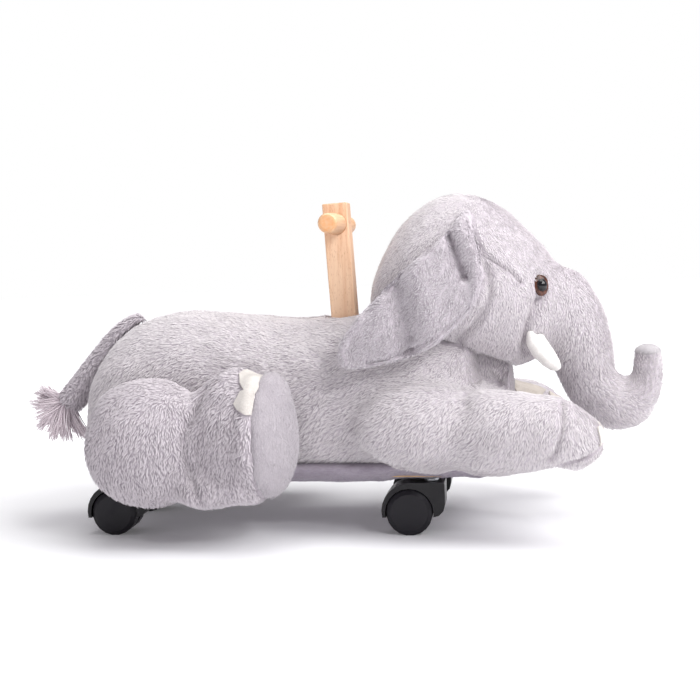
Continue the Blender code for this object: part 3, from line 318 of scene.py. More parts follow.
@dataclass(frozen=True)
class Timber(Finish):
    """Oiled beech: long fibres, short darker flecks, and rings where the end is cut."""

    fleck: Colour = srgb(196, 146, 108)
    along: int = 2
    end: Colour = srgb(226, 160, 104)

    def _drawn_out(self, share: float) -> Point:
        """The stretch of a grain that is so much longer along the timber."""
        return tuple(share if axis == self.along else 1.0 for axis in range(3))

    def shade(self) -> bpy.types.Material:
        """The grain runs along one axis of the object, and the end grain shows where the surface faces that way."""
        s = Shader(self.name)
        streaks, bands = (s.noise(scale, detail, rough, self._drawn_out(0.05))
                          for scale, detail, rough in ((420, 3, 0.6), (70, 2, 0.5)))
        flecks = s.noise(1500, 1, 0.5, self._drawn_out(0.16))
        colour = s.mix((streaks * 0.5 + bands * 0.5).above(0.36, 0.62), self.other, self.main)
        colour = s.mix(flecks.above(0.62, 0.72) * 0.55, colour, self.fleck)
        cut = s.facing(self.along).above(0.6, 0.9)
        rings = s.mix(s.noise(320).above(0.35, 0.65), self.end, self.other)
        return s.finish(Base_Color=s.mix(cut * 0.75, colour, rings), Roughness=streaks * 0.12 + 0.42 + cut * 0.2,
                        Specular_IOR_Level=0.4, Coat_Roughness=0.3,
                        Normal=s.bump(streaks * 0.7 + flecks * 0.3, 0.00012))


@dataclass(frozen=True)
class Plies(Finish):
    """Birch plywood: a plain face, and stripes of light and dark plies on the edge."""

    ply: float = 0.0014

    def shade(self) -> bpy.types.Material:
        """A wave up the board makes the plies on its edges."""
        s = Shader(self.name)
        face = s.noise(300, 3, 0.6, (0.06, 1, 1))
        wave = Value(s, s.add("ShaderNodeTexWave", {"Vector": s.place(), "Scale": 0.32 / self.ply, "Distortion": 0.3},
                              bands_direction="Z").outputs["Fac"])
        share = (1 - s.facing(2).above(0.3, 0.7)) * wave * 0.7 + face.above(0.4, 0.7) * 0.3
        return s.finish(Base_Color=s.mix(share, self.main, self.other), Roughness=0.65,
                        Normal=s.bump(face, 0.0002))


@dataclass(frozen=True)
class Nylon(Finish):
    """Moulded black nylon: a fine spark-eroded grain, with dust and rubbing where it rolls."""

    rough: float = 0.38
    grain: float = 0.00006

    def shade(self) -> bpy.types.Material:
        """The grain is bump, and dust and rubbing change the colour and the shine a little."""
        s = Shader(self.name)
        rubbed = s.noise(90, 4, 0.6).above(0.5, 0.75)
        return s.finish(Base_Color=s.mix(rubbed * 0.35, self.main, self.other), Roughness=rubbed * 0.14 + self.rough,
                        Specular_IOR_Level=0.35, Normal=s.bump(s.noise(2400, 2, 0.6), self.grain))


class Zinc(Finish):
    """Zinc-plated steel with a faint spangle and brushed lines."""

    def shade(self) -> bpy.types.Material:
        """Cells of the plating change the shine."""
        s = Shader(self.name)
        cells = s.noise(700, 3)
        return s.finish(Base_Color=s.mix(cells.above(0.35, 0.65), self.other, self.main), Metallic=1.0,
                        Roughness=cells * 0.2 + 0.26, Normal=s.bump(s.noise(2200, 1, 0.5, (1, 0.1, 1)), 0.00003))


class Foam(Finish):
    """Cream polyurethane foam with open cells."""

    def shade(self) -> bpy.types.Material:
        """Small cells dent the surface and darken it."""
        s = Shader(self.name)
        cells = Value(s, s.add("ShaderNodeTexVoronoi", {"Vector": s.place(), "Scale": 700}).outputs["Distance"])
        return s.finish(Base_Color=s.mix(cells.above(0.1, 0.6), self.other, self.main), Roughness=0.95,
                        Normal=s.bump(cells, 0.0004))


@dataclass(frozen=True)
class Gloss(Finish):
    """Hard moulded plastic of the eye, polished, with a faint cloud in its colour."""

    rough: float = 0.08
    coat: float = 1.0

    def shade(self) -> bpy.types.Material:
        """The cloud is soft noise."""
        s = Shader(self.name)
        return s.finish(Base_Color=s.mix(s.noise(260, 3).above(0.35, 0.7), self.main, self.other),
                        Roughness=self.rough, Specular_IOR_Level=0.1, Coat_Weight=self.coat, Coat_Roughness=0.02)


PILE = Pile("grey_pile_fibre", srgb(188, 180, 187), srgb(230, 225, 227), 0.85)
# Painted shade: a darker copy of the grey pile for the ears, standing for the shade they lie in; its wider range of
# tones leaves room for the painted highlight on their rim.
SHADED_EAR_PILE = Pile("grey_ear_fibre", srgb(171, 163, 171), srgb(228, 222, 227), 0.68)
LONG_PILE = Pile("grey_long_pile_fibre", srgb(172, 163, 171), srgb(220, 213, 218), 0.82)
TAIL_PILE = Pile("tail_pile_fibre", srgb(160, 152, 158), srgb(222, 214, 220))
SOLE_NAP = Pile("pale_sole_nap", srgb(165, 159, 165), srgb(199, 193, 198), 0.84)
CAP_NAP = Pile("trunk_cap_nap", srgb(172, 167, 170), srgb(196, 192, 194), 0.86)
BELLY_NAP = Pile("belly_nap", srgb(150, 140, 155), srgb(170, 160, 176), 0.85)
YARN = Pile("tuft_yarn_strand", srgb(210, 192, 204), srgb(246, 234, 240), 0.72)
BACKING = Backing("grey_pile_backing", srgb(196, 188, 195), srgb(168, 160, 167))
BELLY = ShortPile("belly_short_pile", srgb(176, 167, 178), srgb(150, 141, 152), (0.3, 1, 1))
SOLE = ShortPile("pale_sole_pile", srgb(184, 178, 183), srgb(162, 155, 162), (1, 1, 0.3), 0.8)
CAP = ShortPile("trunk_cap_pile", srgb(190, 186, 189), srgb(170, 165, 169), (1, 1, 0.6), 0.8)
FELT = Felt("white_felt_fibre", srgb(246, 244, 241), srgb(224, 220, 216))
NAIL_FELT = Felt("white_nail_felt", srgb(220, 215, 210), srgb(196, 190, 185))
# Painted shade: a darker, beige copy of the nail felt for the far front foot's nails, standing for the shade of the
# head and trunk that falls on them.
SHADED_NAIL_FELT = Felt("worn_nail_felt", srgb(196, 187, 179), srgb(170, 161, 153))
POST_WOOD = Timber("beech_post", srgb(243, 207, 175), srgb(228, 182, 146), srgb(196, 146, 108))
DOWEL_WOOD = Timber("beech_dowel", srgb(240, 200, 162), srgb(222, 172, 130), srgb(190, 138, 98), 1,
                    srgb(224, 158, 102))
PLYWOOD = Plies("birch_plywood", srgb(222, 190, 150), srgb(160, 118, 82))
WHEEL_NYLON = Nylon("black_wheel_nylon", srgb(20, 17, 25), srgb(36, 32, 42), 0.42)
HOOD_NYLON = Nylon("black_hood_nylon", srgb(16, 13, 18), srgb(30, 27, 34), 0.34)
WASHER = Nylon("white_washer_plastic", srgb(214, 212, 206), srgb(190, 188, 182), 0.5)
STEEL = Zinc("zinc_plated_steel", srgb(206, 208, 212), srgb(170, 173, 178))
FOAM = Foam("cream_foam", srgb(238, 228, 196), srgb(206, 192, 150))
PUPIL = Gloss("eye_black", srgb(5, 4, 7), srgb(10, 8, 15), 0.3, 0.8)
IRIS = Gloss("eye_brown", srgb(58, 33, 27), srgb(100, 62, 50), 0.16, 0.4)


def linked(name: str, data: bpy.types.ID) -> bpy.types.Object:
    """Puts data into the scene as an object."""
    piece = bpy.data.objects.new(name, data)
    bpy.context.scene.collection.objects.link(piece)
    return piece


def object_of(mesh: bmesh.types.BMesh, name: str) -> bpy.types.Object:
    """Turns a finished bmesh into an object at the origin and frees it.

    Args:
        mesh: the finished bmesh.
        name: the piece's name.

    Returns:
        The object.
    """
    data = bpy.data.meshes.new(name)
    mesh.to_mesh(data)
    mesh.free()
    return linked(name, data)


def merged(*meshes: bpy.types.Mesh) -> bmesh.types.BMesh:
    """Some meshes in one bmesh."""
    mesh = bmesh.new()
    for data in meshes:
        mesh.from_mesh(data)
    return mesh


def tree_of(*meshes: bpy.types.Mesh) -> BVHTree:
    """A search tree over some meshes."""
    mesh = merged(*meshes)
    tree = BVHTree.FromBMesh(mesh)
    mesh.free()
    return tree


def slice_off(mesh: bmesh.types.BMesh, place: Point, facing: Point, dist: float = 0.0, drop: bool = True) -> None:
    """Cuts a mesh with a plane.

    Args:
        mesh: the mesh.
        place: a point of the plane.
        facing: the way the plane faces.
        dist: how near a point counts as on the plane.
        drop: whether what lies on the side that the plane faces goes.
    """
    bmesh.ops.bisect_plane(mesh, geom=mesh.verts[:] + mesh.edges[:] + mesh.faces[:], plane_co=place,
                           plane_no=facing, dist=dist, clear_outer=drop)


def modify(piece: bpy.types.Object, kind: str, **settings: object) -> bpy.types.Modifier:
    """Adds a modifier.

    Args:
        piece: the object.
        kind: Blender's name of the modifier type.
        settings: its properties.

    Returns:
        The modifier.
    """
    modifier = piece.modifiers.new(kind.lower(), kind)
    for name, setting in settings.items():
        setattr(modifier, name, setting)
    return modifier


def dress(piece: bpy.types.Object, finish: Finish, body: str = ANIMAL) -> bpy.types.Object:
    """Gives a piece its finish and the body it rides on.

    Args:
        piece: the piece.
        finish: its finish.
        body: the CAD body.

    Returns:
        The piece.
    """
    piece.data.materials.clear()
    piece.data.materials.append(finish.material())
    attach(piece, body)
    LOG.info("%-30s %7d faces, %s", piece.name, len(piece.data.polygons), finish.name)
    return piece


def smooth(piece: bpy.types.Object) -> None:
    """Shades every face of a piece smooth."""
    piece.data.polygons.foreach_set("use_smooth", [True] * len(piece.data.polygons))


def applied(piece: bpy.types.Object) -> None:
    """Puts a piece's modifiers into its mesh."""
    bpy.context.view_layer.update()
    made = bpy.data.meshes.new_from_object(piece.evaluated_get(bpy.context.evaluated_depsgraph_get()))
    piece.modifiers.clear()
    piece.data = made


def rows_of(items: bpy.types.bpy_prop_collection, name: str, kind: type = np.float32) -> np.ndarray:
    """Reads a property of three numbers from each item, as rows."""
    found = np.empty(len(items) * 3, kind)
    items.foreach_get(name, found)
    return found.reshape(-1, 3)


def places(mesh: bpy.types.Mesh) -> np.ndarray:
    """The vertices of a mesh as rows of three numbers."""
    return rows_of(mesh.vertices, "co").astype(float)


def put(mesh: bpy.types.Mesh, where: np.ndarray) -> None:
    """Moves the vertices of a mesh to rows of three numbers."""
    mesh.vertices.foreach_set("co", where.astype(np.float32).ravel())
    mesh.update()


def unit(rows: np.ndarray) -> np.ndarray:
    """Each row made one long."""
    return rows / np.maximum(np.linalg.norm(rows, axis=1, keepdims=True), 1e-9)


def copy_of(nodes: Iterable[str], name: str) -> bpy.types.Object:
    """A copy of some CAD nodes' meshes in one piece, with their loose triangles merged.

    Args:
        nodes: the CAD nodes.
        name: the new piece's name.

    Returns:
        The new piece.
    """
    mesh = merged(*(frame["nodes"][node].data for node in nodes))
    bmesh.ops.remove_doubles(mesh, verts=mesh.verts, dist=1e-6)
    bmesh.ops.recalc_face_normals(mesh, faces=mesh.faces)
    return object_of(mesh, name)


@dataclass(frozen=True)
class Camera:
    """The camera that saw the photograph: where it aims, from where, and how it is rolled."""

    azimuth: float = math.radians(7.9)
    elevation: float = math.radians(4.6)
    roll: float = math.radians(1.72)
    distance: float = 1.400
    aim: Vector = field(default_factory=lambda: Vector((0.0175, 0.0, 0.197)))
    sensor: float = 36.0
    focal_pixels: float = 1223.0
    clip: tuple[float, float] = (0.05, 50.0)

    def axes(self) -> tuple[Vector, Vector, Vector]:
        """The camera's right, up and back directions."""
        a, e = self.azimuth, self.elevation
        right = Vector((math.cos(a), math.sin(a), 0))
        back = Vector((math.sin(a) * math.cos(e), -math.cos(a) * math.cos(e), math.sin(e)))
        up = back.cross(right)
        c, s = math.cos(self.roll), math.sin(self.roll)
        return right * c - up * s, up * c + right * s, back

    def eye(self) -> Vector:
        """Where the camera stands."""
        return self.aim + self.axes()[2] * self.distance

    def ray(self, x: float, y: float) -> Vector:
        """The direction in which a pixel of the photograph looks."""
        right, up, back = self.axes()
        half = IMAGE_SIZE / 2
        return (right * (x - half) - up * (y - half) - back * self.focal_pixels).normalized()

    def build(self) -> None:
        """Makes the camera and sets it as the scene's."""
        data = bpy.data.cameras.new("photograph")
        data.sensor_width = self.sensor
        data.lens = self.focal_pixels / IMAGE_SIZE * self.sensor
        data.clip_start, data.clip_end = self.clip
        camera = linked("photograph", data)
        right, up, back = self.axes()
        camera.matrix_world = Matrix.Translation(self.eye()) @ Matrix((right, up, back)).transposed().to_4x4()
        bpy.context.scene.camera = camera


CAMERA = Camera()


@dataclass(frozen=True)
class Lamp:
    """A soft box of the studio."""

    name: str
    place: Point
    width: float
    watts: float
    colour: Colour = (1.0, 1.0, 1.0)
    aim: Point = (0.0, 0.0, 0.18)

    def build(self) -> None:
        """Makes the area light, turned to its aim."""
        data = bpy.data.lights.new(self.name, "AREA")
        data.size, data.energy, data.color = self.width, self.watts, self.colour
        lamp = linked(self.name, data)
        lamp.location = self.place
        lamp.rotation_euler = (Vector(self.aim) - Vector(self.place)).to_track_quat("-Z", "Y").to_euler()


@dataclass
class Studio:
    """A pale floor, soft lights and the camera."""

    floor_radius: float = 9.0
    paper: Colour = srgb(240, 240, 242)
    paper_patch: Colour = srgb(237, 237, 240)
    glow: float = 0.76
    sky: float = 0.36
    seen_sky: float = 1.0
    bounce: Colour = (0.98, 0.94, 1.0)
    lamps: tuple[Lamp, ...] = (
        Lamp("key_box", (1.6, -0.7, 1.5), 1.2, 33.0),
        Lamp("catch_box", (1.05, -1.35, 1.25), 0.26, 7.0),
        Lamp("top_box", (0.3, 0.0, 2.2), 1.8, 35.0, (0.99, 1.0, 0.975)),
    )

    def build(self) -> None:
        """Makes the floor, the lights, the sky and the camera."""
        mesh = bmesh.new()
        bmesh.ops.create_circle(mesh, cap_ends=True, segments=96, radius=self.floor_radius)
        floor = object_of(mesh, "floor")
        s = Shader("pale_paper")
        out = s.add("ShaderNodeVectorMath", {0: s.place()}, operation="LENGTH").outputs["Value"]
        lit = s.mix(Value(s, out).above(0.2, 1.2), (0.1, 0.1, 0.1), (1.0, 1.0, 1.0))
        floor.data.materials.append(s.finish(Base_Color=s.mix(s.noise(3), self.paper, self.paper_patch),
                                             Roughness=0.9, Specular_IOR_Level=0.1, Emission_Color=lit,
                                             Emission_Strength=self.glow))
        for lamp in self.lamps:
            lamp.build()
        world = bpy.data.worlds.new("studio")
        world.use_nodes = True
        sky = Graph(world.node_tree)
        seen = sky.add("ShaderNodeLightPath").outputs["Is Camera Ray"]
        light = sky.add("ShaderNodeMapRange", {"Value": seen, "To Min": self.sky, "To Max": self.seen_sky})
        colour = sky.add("ShaderNodeMix", {0: seen, 6: self.bounce, 7: (1.0, 1.0, 1.0)}, data_type="RGBA")
        for name, result in (("Strength", light.outputs[0]), ("Color", colour.outputs[2])):
            sky.links.new(result, sky.nodes["Background"].inputs[name])
        bpy.context.scene.world = world
        bpy.context.scene.view_settings.view_transform = "Standard"
        CAMERA.build()


class Side(Enum):
    """Which sides of the animal a form lies on, as the signs of Y from which its seams are drawn."""

    RIGHT = (-1,)
    LEFT = (1,)
    BOTH = (-1, 1)


SIDES = (("right", -1), ("left", 1))


def from_line(where: np.ndarray, line: Sequence[Vector | np.ndarray]) -> np.ndarray:
    """How far each point lies from a line of straight parts."""
    nearest = np.full(len(where), np.inf)
    for a, b in zip(line, line[1:]):
        start, along = np.array(a), np.array(b - a)
        t = np.clip((where - start) @ along / max(along @ along, 1e-12), 0, 1)
        nearest = np.minimum(nearest, np.linalg.norm(where - (start + t[:, None] * along), axis=1))
    return nearest


@dataclass(frozen=True)
class Seam:
    """A line along which the cloth is sewn in, creased or, with a depth below 0, raised.

    The line is given by its places along and up the animal, in millimetres, and lies where
    someone who looks from the side would draw it.
    """

    line: tuple[tuple[float, float], ...]
    depth: float = 0.003
    width: float = 0.005
    steps: int = 6

    def _smooth(self) -> list[Vector]:
        """The line's points with rounded steps between them.

        Returns:
            The points, with X and Z in metres.
        """
        ends = [self.line[0], *self.line, self.line[-1]]
        found = []
        for a, b, c, d in zip(ends, ends[1:], ends[2:], ends[3:]):
            for step in range(self.steps):
                t = step / self.steps
                found.append(Vector([MM * 0.5 * (2 * q + (r - p) * t + (2 * p - 5 * q + 4 * r - s) * t * t
                                                 + (3 * q - p - 3 * r + s) * t**3) for p, q, r, s in zip(a, b, c, d)]))
        return [*found, Vector(self.line[-1]) * MM]

    def draw_in(self, where: np.ndarray, normals: np.ndarray, tree: BVHTree, side: Side) -> np.ndarray:
        """Moves the points near the line inwards.

        Args:
            where: the cloth's points.
            normals: the cloth's normals.
            tree: the cloth, on which the line is drawn.
            side: the sides of the animal on which it is drawn.

        Returns:
            The moved points.
        """
        moved = where.copy()
        for sign in side.value:
            drawn = [tree.ray_cast(Vector((p.x, sign, p.y)), Vector((0, -sign, 0)))[0] for p in self._smooth()]
            drawn = [p for p in drawn if p is not None and p.y * sign > -0.01]
            share = np.exp(-((from_line(where, drawn) / self.width) ** 2))
            moved -= normals * (self.depth * share)[:, None]
        return moved


class Face(Enum):
    """The faces of a form on which a fold can lie: the axis it looks along, its sign, and the plane of the line."""

    OUTER = (1, 0, (0, 2))
    TOP = (2, 1, (0, 1))
    BOTTOM = (2, -1, (0, 1))


@dataclass(frozen=True)
class Fold(Seam):
    """A broad fold, or with a depth below 0 a swell: only one face of the form moves, straight back.

    On the outer face the line is given along and up the animal. On the top and the bottom it is given
    along and across, and on a form of one side across is counted from the animal's middle.
    """

    face: Face = Face.OUTER
    flat: float = 0.0

    def draw_in(self, where: np.ndarray, normals: np.ndarray, tree: BVHTree, side: Side) -> np.ndarray:
        """Moves the face's points inwards.

        Args:
            where: the cloth's points.
            normals: the cloth's normals.
            tree: the cloth, which a fold doesn't need.
            side: the sides of the animal on which the fold lies.

        Returns:
            The moved points.
        """
        moved = where.copy()
        axis, way, plane = self.face.value
        place = where[:, plane] * ((1, side.value[0]) if way and len(side.value) == 1 else (1, 1))
        nearest = from_line(place, [np.array(p) for p in self._smooth()])
        share = np.exp(-((np.maximum(nearest - self.flat, 0) / self.width) ** 2))
        for sign in (way,) if way else side.value:
            moved[:, axis] -= sign * self.depth * share * np.clip(normals[:, axis] * sign * 1.6 - 0.2, 0, 1)
        return moved


class TuftShape(Enum):
    """How much work goes into one tuft, with its number of triangles."""

    SPIKE = 4
    SPINDLE = 10


@dataclass(frozen=True)
class Lay:
    """How the pile lies on a form: how thick it stands, how long it is, and which way it is brushed.

    A stroke of the comb is its place along and up the animal, in millimetres, its way in degrees,
    where 0 is forwards and 90 is up, and how flat it lays the pile, from 0 to 1. On top of a form the
    pile lies backwards by the crest. The tones are the palest and darkest locks on a broad face, and
    the rim is a painted highlight: how much paler the locks are painted where the skin faces away from the sides.
    """

    finish: Pile = PILE
    shape: TuftShape = TuftShape.SPIKE
    spacing: float = 0.0025
    length: float = 0.0078
    width: float = 0.0023
    thickness: float = 0.0016
    lock: float = 0.0085
    gather: float = 0.55
    lift: float = 0.0028
    comb: tuple[tuple[float, float, float, float], ...] = ((0, 150, 225, 0),)
    swirl: float = 0.6
    swirl_size: float = 0.018
    crest: float = 0.9
    tones: tuple[float, float] = TONE_RANGE
    rim: float = 0.0

    def _shares(self, where: np.ndarray) -> np.ndarray:
        """How much each stroke of the comb counts at each point."""
        apart = ((where[:, None, [0, 2]] - np.array(self.comb, float)[None, :, :2] * MM) ** 2).sum(2) + 0.0003
        return apart**-1.5 / (apart**-1.5).sum(1, keepdims=True)

    def flatness(self, where: np.ndarray, normals: np.ndarray) -> np.ndarray:
        """How flat the pile lies at each point, as a column: as the comb says, and flatter on top of a form."""
        laid = self._shares(where) @ np.array(self.comb, float)[:, 3:]
        return 1 - (1 - laid) * (1 - 0.6 * np.clip(normals[:, 2:], 0, 1))

    def brush(self, where: np.ndarray, normals: np.ndarray) -> np.ndarray:
        """The way the pile is brushed: as the nearest strokes of the comb go, with swirls.

        Args:
            where: points on the skin.
            normals: the skin's normals there.

        Returns:
            The directions, each along the skin.
        """
        turns = np.radians(np.array(self.comb, float)[:, 2])
        way = unit(self._shares(where) @ np.stack([np.cos(turns), 0 * turns, np.sin(turns)], 1))
        way[:, 0] -= self.crest * np.clip(normals[:, 2], 0, 1) ** 2
        way -= normals * (way * normals).sum(1, keepdims=True)
        swirls = np.array([noise.noise_vector(Vector(p) / self.swirl_size) for p in where])
        way += swirls * self.swirl * np.linalg.norm(way, axis=1, keepdims=True)
        return unit(way - normals * (way * normals).sum(1, keepdims=True))


@dataclass(frozen=True)
class Tuft:
    """One tuft of pile, which the laid pile copies: how far it bends, how thick its middle is, and where that lies."""

    shape: TuftShape
    bend: float = 0.32
    belly: float = 1.55
    waist: float = 0.45

    def build(self) -> bpy.types.Object:
        """Makes a three-sided tuft, one long, one wide and one thick, that lies along X. A spindle arches upwards.

        Returns:
            The pattern piece.
        """
        mesh = bmesh.new()
        bmesh.ops.create_cone(mesh, cap_ends=True, segments=3, radius1=0.5, radius2=0.0, depth=1.0)
        bmesh.ops.rotate(mesh, cent=(0, 0, 0), matrix=Matrix.Rotation(math.pi / 2, 3, "Y"), verts=mesh.verts)
        bmesh.ops.translate(mesh, vec=(0.5, 0, 0), verts=mesh.verts)
        bmesh.ops.remove_doubles(mesh, verts=mesh.verts, dist=1e-5)
        if self.shape is TuftShape.SPINDLE:
            slice_off(mesh, (self.waist, 0, 0), (1, 0, 0), 1e-5, drop=False)
            for vertex in mesh.verts:
                if abs(vertex.co.x - self.waist) < 1e-4:
                    vertex.co.yz = vertex.co.yz * self.belly
                    vertex.co.z += self.bend
                if vertex.co.x < 1e-4:
                    vertex.co.yz = vertex.co.yz * 0.8
        drawn = mesh.loops.layers.uv.new(PILE_MAP)
        for face in mesh.faces:
            face.smooth = False
            for corner in face.loops:
                corner[drawn].uv = (0.02 + 0.96 * corner.vert.co.x, corner.vert.co.y)
        bmesh.ops.recalc_face_normals(mesh, faces=mesh.faces)
        return object_of(mesh, f"tuft_{self.shape.name.lower()}")


class PileLayer:
    """Lays pile over a skin: picks the roots, gathers them into locks, and copies a tuft to each."""

    def __init__(self) -> None:
        """Makes the tuft patterns and their copying groups."""
        self.patterns = {shape: Tuft(shape).build() for shape in TuftShape}
        self.groups = {shape: self._copying_group(pattern) for shape, pattern in self.patterns.items()}

    @staticmethod
    def _copying_group(tuft: bpy.types.Object) -> bpy.types.NodeTree:
        """The geometry nodes that copy a tuft to each root.

        Args:
            tuft: the pattern piece.

        Returns:
            The node group.
        """
        group = bpy.data.node_groups.new("lay_pile", "GeometryNodeTree")
        for way in ("INPUT", "OUTPUT"):
            group.interface.new_socket("Geometry", in_out=way, socket_type="NodeSocketGeometry")
        graph = Graph(group)
        node = graph.add

        def read(name: str, kind: str = "FLOAT_VECTOR") -> bpy.types.NodeSocket:
            """Reads an attribute by its name."""
            return node("GeometryNodeInputNamedAttribute", {"Name": name}, data_type=kind).outputs["Attribute"]

        pattern = node("GeometryNodeObjectInfo", {"Object": tuft})
        turn = node("FunctionNodeAxesToRotation", {"Primary Axis": read("along"), "Secondary Axis": read("stand")},
                    primary_axis="X", secondary_axis="Z")
        points = node("GeometryNodeMeshToPoints", {"Mesh": node("NodeGroupInput").outputs[0]})
        copies = node("GeometryNodeInstanceOnPoints",
                      {"Points": points.outputs[0], "Instance": pattern.outputs["Geometry"],
                       "Rotation": turn.outputs[0], "Scale": read("size")})
        real = node("GeometryNodeRealizeInstances", {"Geometry": copies.outputs[0]})
        split = node("ShaderNodeSeparateXYZ", {0: read(PILE_MAP)})
        across = node("ShaderNodeMath", {0: split.outputs[1], 1: TUFT_TONES, 2: read("tone", "FLOAT")},
                      operation="MULTIPLY_ADD")
        drawn = node("ShaderNodeCombineXYZ", {0: split.outputs[0], 1: across.outputs[0]})
        stored = node("GeometryNodeStoreNamedAttribute",
                      {"Geometry": real.outputs[0], "Name": PILE_MAP, "Value": drawn.outputs[0]},
                      data_type="FLOAT2", domain="CORNER")
        graph.links.new(stored.outputs[0], node("NodeGroupOutput").inputs[0])
        return group

    @staticmethod
    def _roots(skin: bpy.types.Object, spacing: float, random: np.random.Generator) -> tuple[np.ndarray, np.ndarray]:
        """Spreads points evenly over a skin.

        Args:
            skin: the padded form.
            spacing: the rough distance between two points.
            random: the seeded source of chance.

        Returns:
            The points and their normals.
        """
        mesh = skin.data
        mesh.calc_loop_triangles()
        corners = rows_of(mesh.loop_triangles, "vertices", np.int32)
        where, facing = places(mesh)[corners], rows_of(mesh.vertex_normals, "vector")[corners]
        area = np.linalg.norm(np.cross(where[:, 1] - where[:, 0], where[:, 2] - where[:, 0]), axis=1) / 2
        count = int(area.sum() / spacing**2 * TRIES_PER_TUFT)
        picked = random.choice(len(area), count, p=area / area.sum())
        a, b = random.random((2, count, 1))
        over = a + b > 1
        a, b = np.where(over, 1 - a, a), np.where(over, 1 - b, b)
        points = where[picked, 0] * (1 - a - b) + where[picked, 1] * a + where[picked, 2] * b
        normals = unit(facing[picked, 0] * (1 - a - b) + facing[picked, 1] * a + facing[picked, 2] * b)
        cells = np.floor(points / (spacing * CELL_SHARE)).astype(np.int64)
        _, first = np.unique(cells, axis=0, return_index=True)
        return points[first], normals[first]

    def lay(self, skin: bpy.types.Object, lay: Lay, cover: BVHTree, seed: int, slot: str) -> list[bpy.types.Object]:
        """Covers a skin with pile.

        Args:
            skin: the padded form.
            lay: how the pile lies.
            cover: what else stands near, under which no pile grows.
            seed: the seed of chance.
            slot: the record's material slot; not used.

        Returns:
            The pieces of pile, none over the limit of faces.
        """
        random = np.random.default_rng(seed)
        roots, normals = self._roots(skin, lay.spacing, random)
        bare = [cover.ray_cast(Vector(p) + Vector(n) * 0.0002, Vector(n), ROOM_FOR_PILE)[0] is None
                for p, n in zip(roots, normals)]
        roots, normals = roots[bare], normals[bare]
        brushed = lay.brush(roots, normals)
        flat = lay.flatness(roots, normals)
        stand = 1 - 0.75 * flat
        locks, lock_normals = self._roots(skin, lay.lock, random)
        tree = kdtree.KDTree(len(locks))
        for i, p in enumerate(locks):
            tree.insert(p, i)
        tree.balance()
        owner = np.array([tree.find(p)[1] for p in roots])
        tips = locks + lay.brush(locks, lock_normals) * lay.length * 0.75 + lock_normals * lay.lift * 1.5
        own = brushed * lay.length * 0.9 + normals * lay.lift * stand
        reach = (1 - lay.gather * stand) * own + lay.gather * stand * (tips[owner] - roots)
        reach = unit(reach) * (lay.length * random.uniform(0.72, 1.2, len(roots)))[:, None]
        lock_tone = random.random(len(locks))[owner]
        broad = np.array([noise.noise(Vector(p) / BROAD_PATCH) for p in roots]) * 0.5 + 0.5
        tone = 0.45 * broad + 0.3 * lock_tone + 0.25 * random.random(len(roots))
        tone = 0.5 + (tone - 0.5) * (1 - 0.5 * flat[:, 0])
        # Painted highlight: the rim term makes locks paler where the skin doesn't face sideways, on a form's edges.
        tone = np.interp(tone, (0, 1), lay.tones) + lay.rim * (1 - np.abs(normals[:, 1]))
        tone = np.clip(tone, *TONE_RANGE)
        size = np.stack([np.linalg.norm(reach, axis=1),
                         lay.width * random.uniform(0.75, 1.25, len(roots)),
                         lay.thickness * random.uniform(0.8, 1.2, len(roots))], 1)
        parts = max(1, math.ceil(len(roots) * lay.shape.value / MOST_FACES))
        order = np.argsort(roots[:, 0])
        made = []
        for part, rows in enumerate(np.array_split(order, parts)):
            name = f"{skin.name}_pile" + (f"_{part + 1}" if parts > 1 else "")
            made.append(self._copied(name, lay.shape, roots[rows] - normals[rows] * ROOT_DEPTH, unit(reach[rows]),
                                     normals[rows], size[rows], tone[rows]))
            dress(made[-1], lay.finish)
        return made

    def _copied(self, name: str, shape: TuftShape, roots: np.ndarray, along: np.ndarray, stand: np.ndarray,
                size: np.ndarray, tone: np.ndarray) -> bpy.types.Object:
        """Copies the tuft to each root.

        Args:
            name: the new piece's name.
            shape: the tuft's pattern.
            roots: where each tuft starts.
            along: the direction from its root to its tip.
            stand: the skin's normal there.
            size: its length, width and thickness.
            tone: its place between dark and pale.

        Returns:
            The piece of pile.
        """
        mesh = bpy.data.meshes.new(name)
        mesh.vertices.add(len(roots))
        put(mesh, roots)
        for label, rows, kind in (("along", along, "FLOAT_VECTOR"), ("stand", stand, "FLOAT_VECTOR"),
                                  ("size", size, "FLOAT_VECTOR"), ("tone", tone, "FLOAT")):
            layer = mesh.attributes.new(label, kind, "POINT")
            layer.data.foreach_set("value" if kind == "FLOAT" else "vector", rows.astype(np.float32).ravel())
        piece = linked(name, mesh)
        modify(piece, "NODES", node_group=self.groups[shape])
        applied(piece)
        for label in ("along", "stand", "size", "tone"):
            if label in piece.data.attributes:
                piece.data.attributes.remove(piece.data.attributes[label])
        return piece


PLUSH_CLOTH = {"quality": 4, "mass": 0.3, "tension_stiffness": 12, "compression_stiffness": 12, "shear_stiffness": 4,
               "bending_stiffness": 0.6, "use_pressure": True, "uniform_pressure_force": 4}


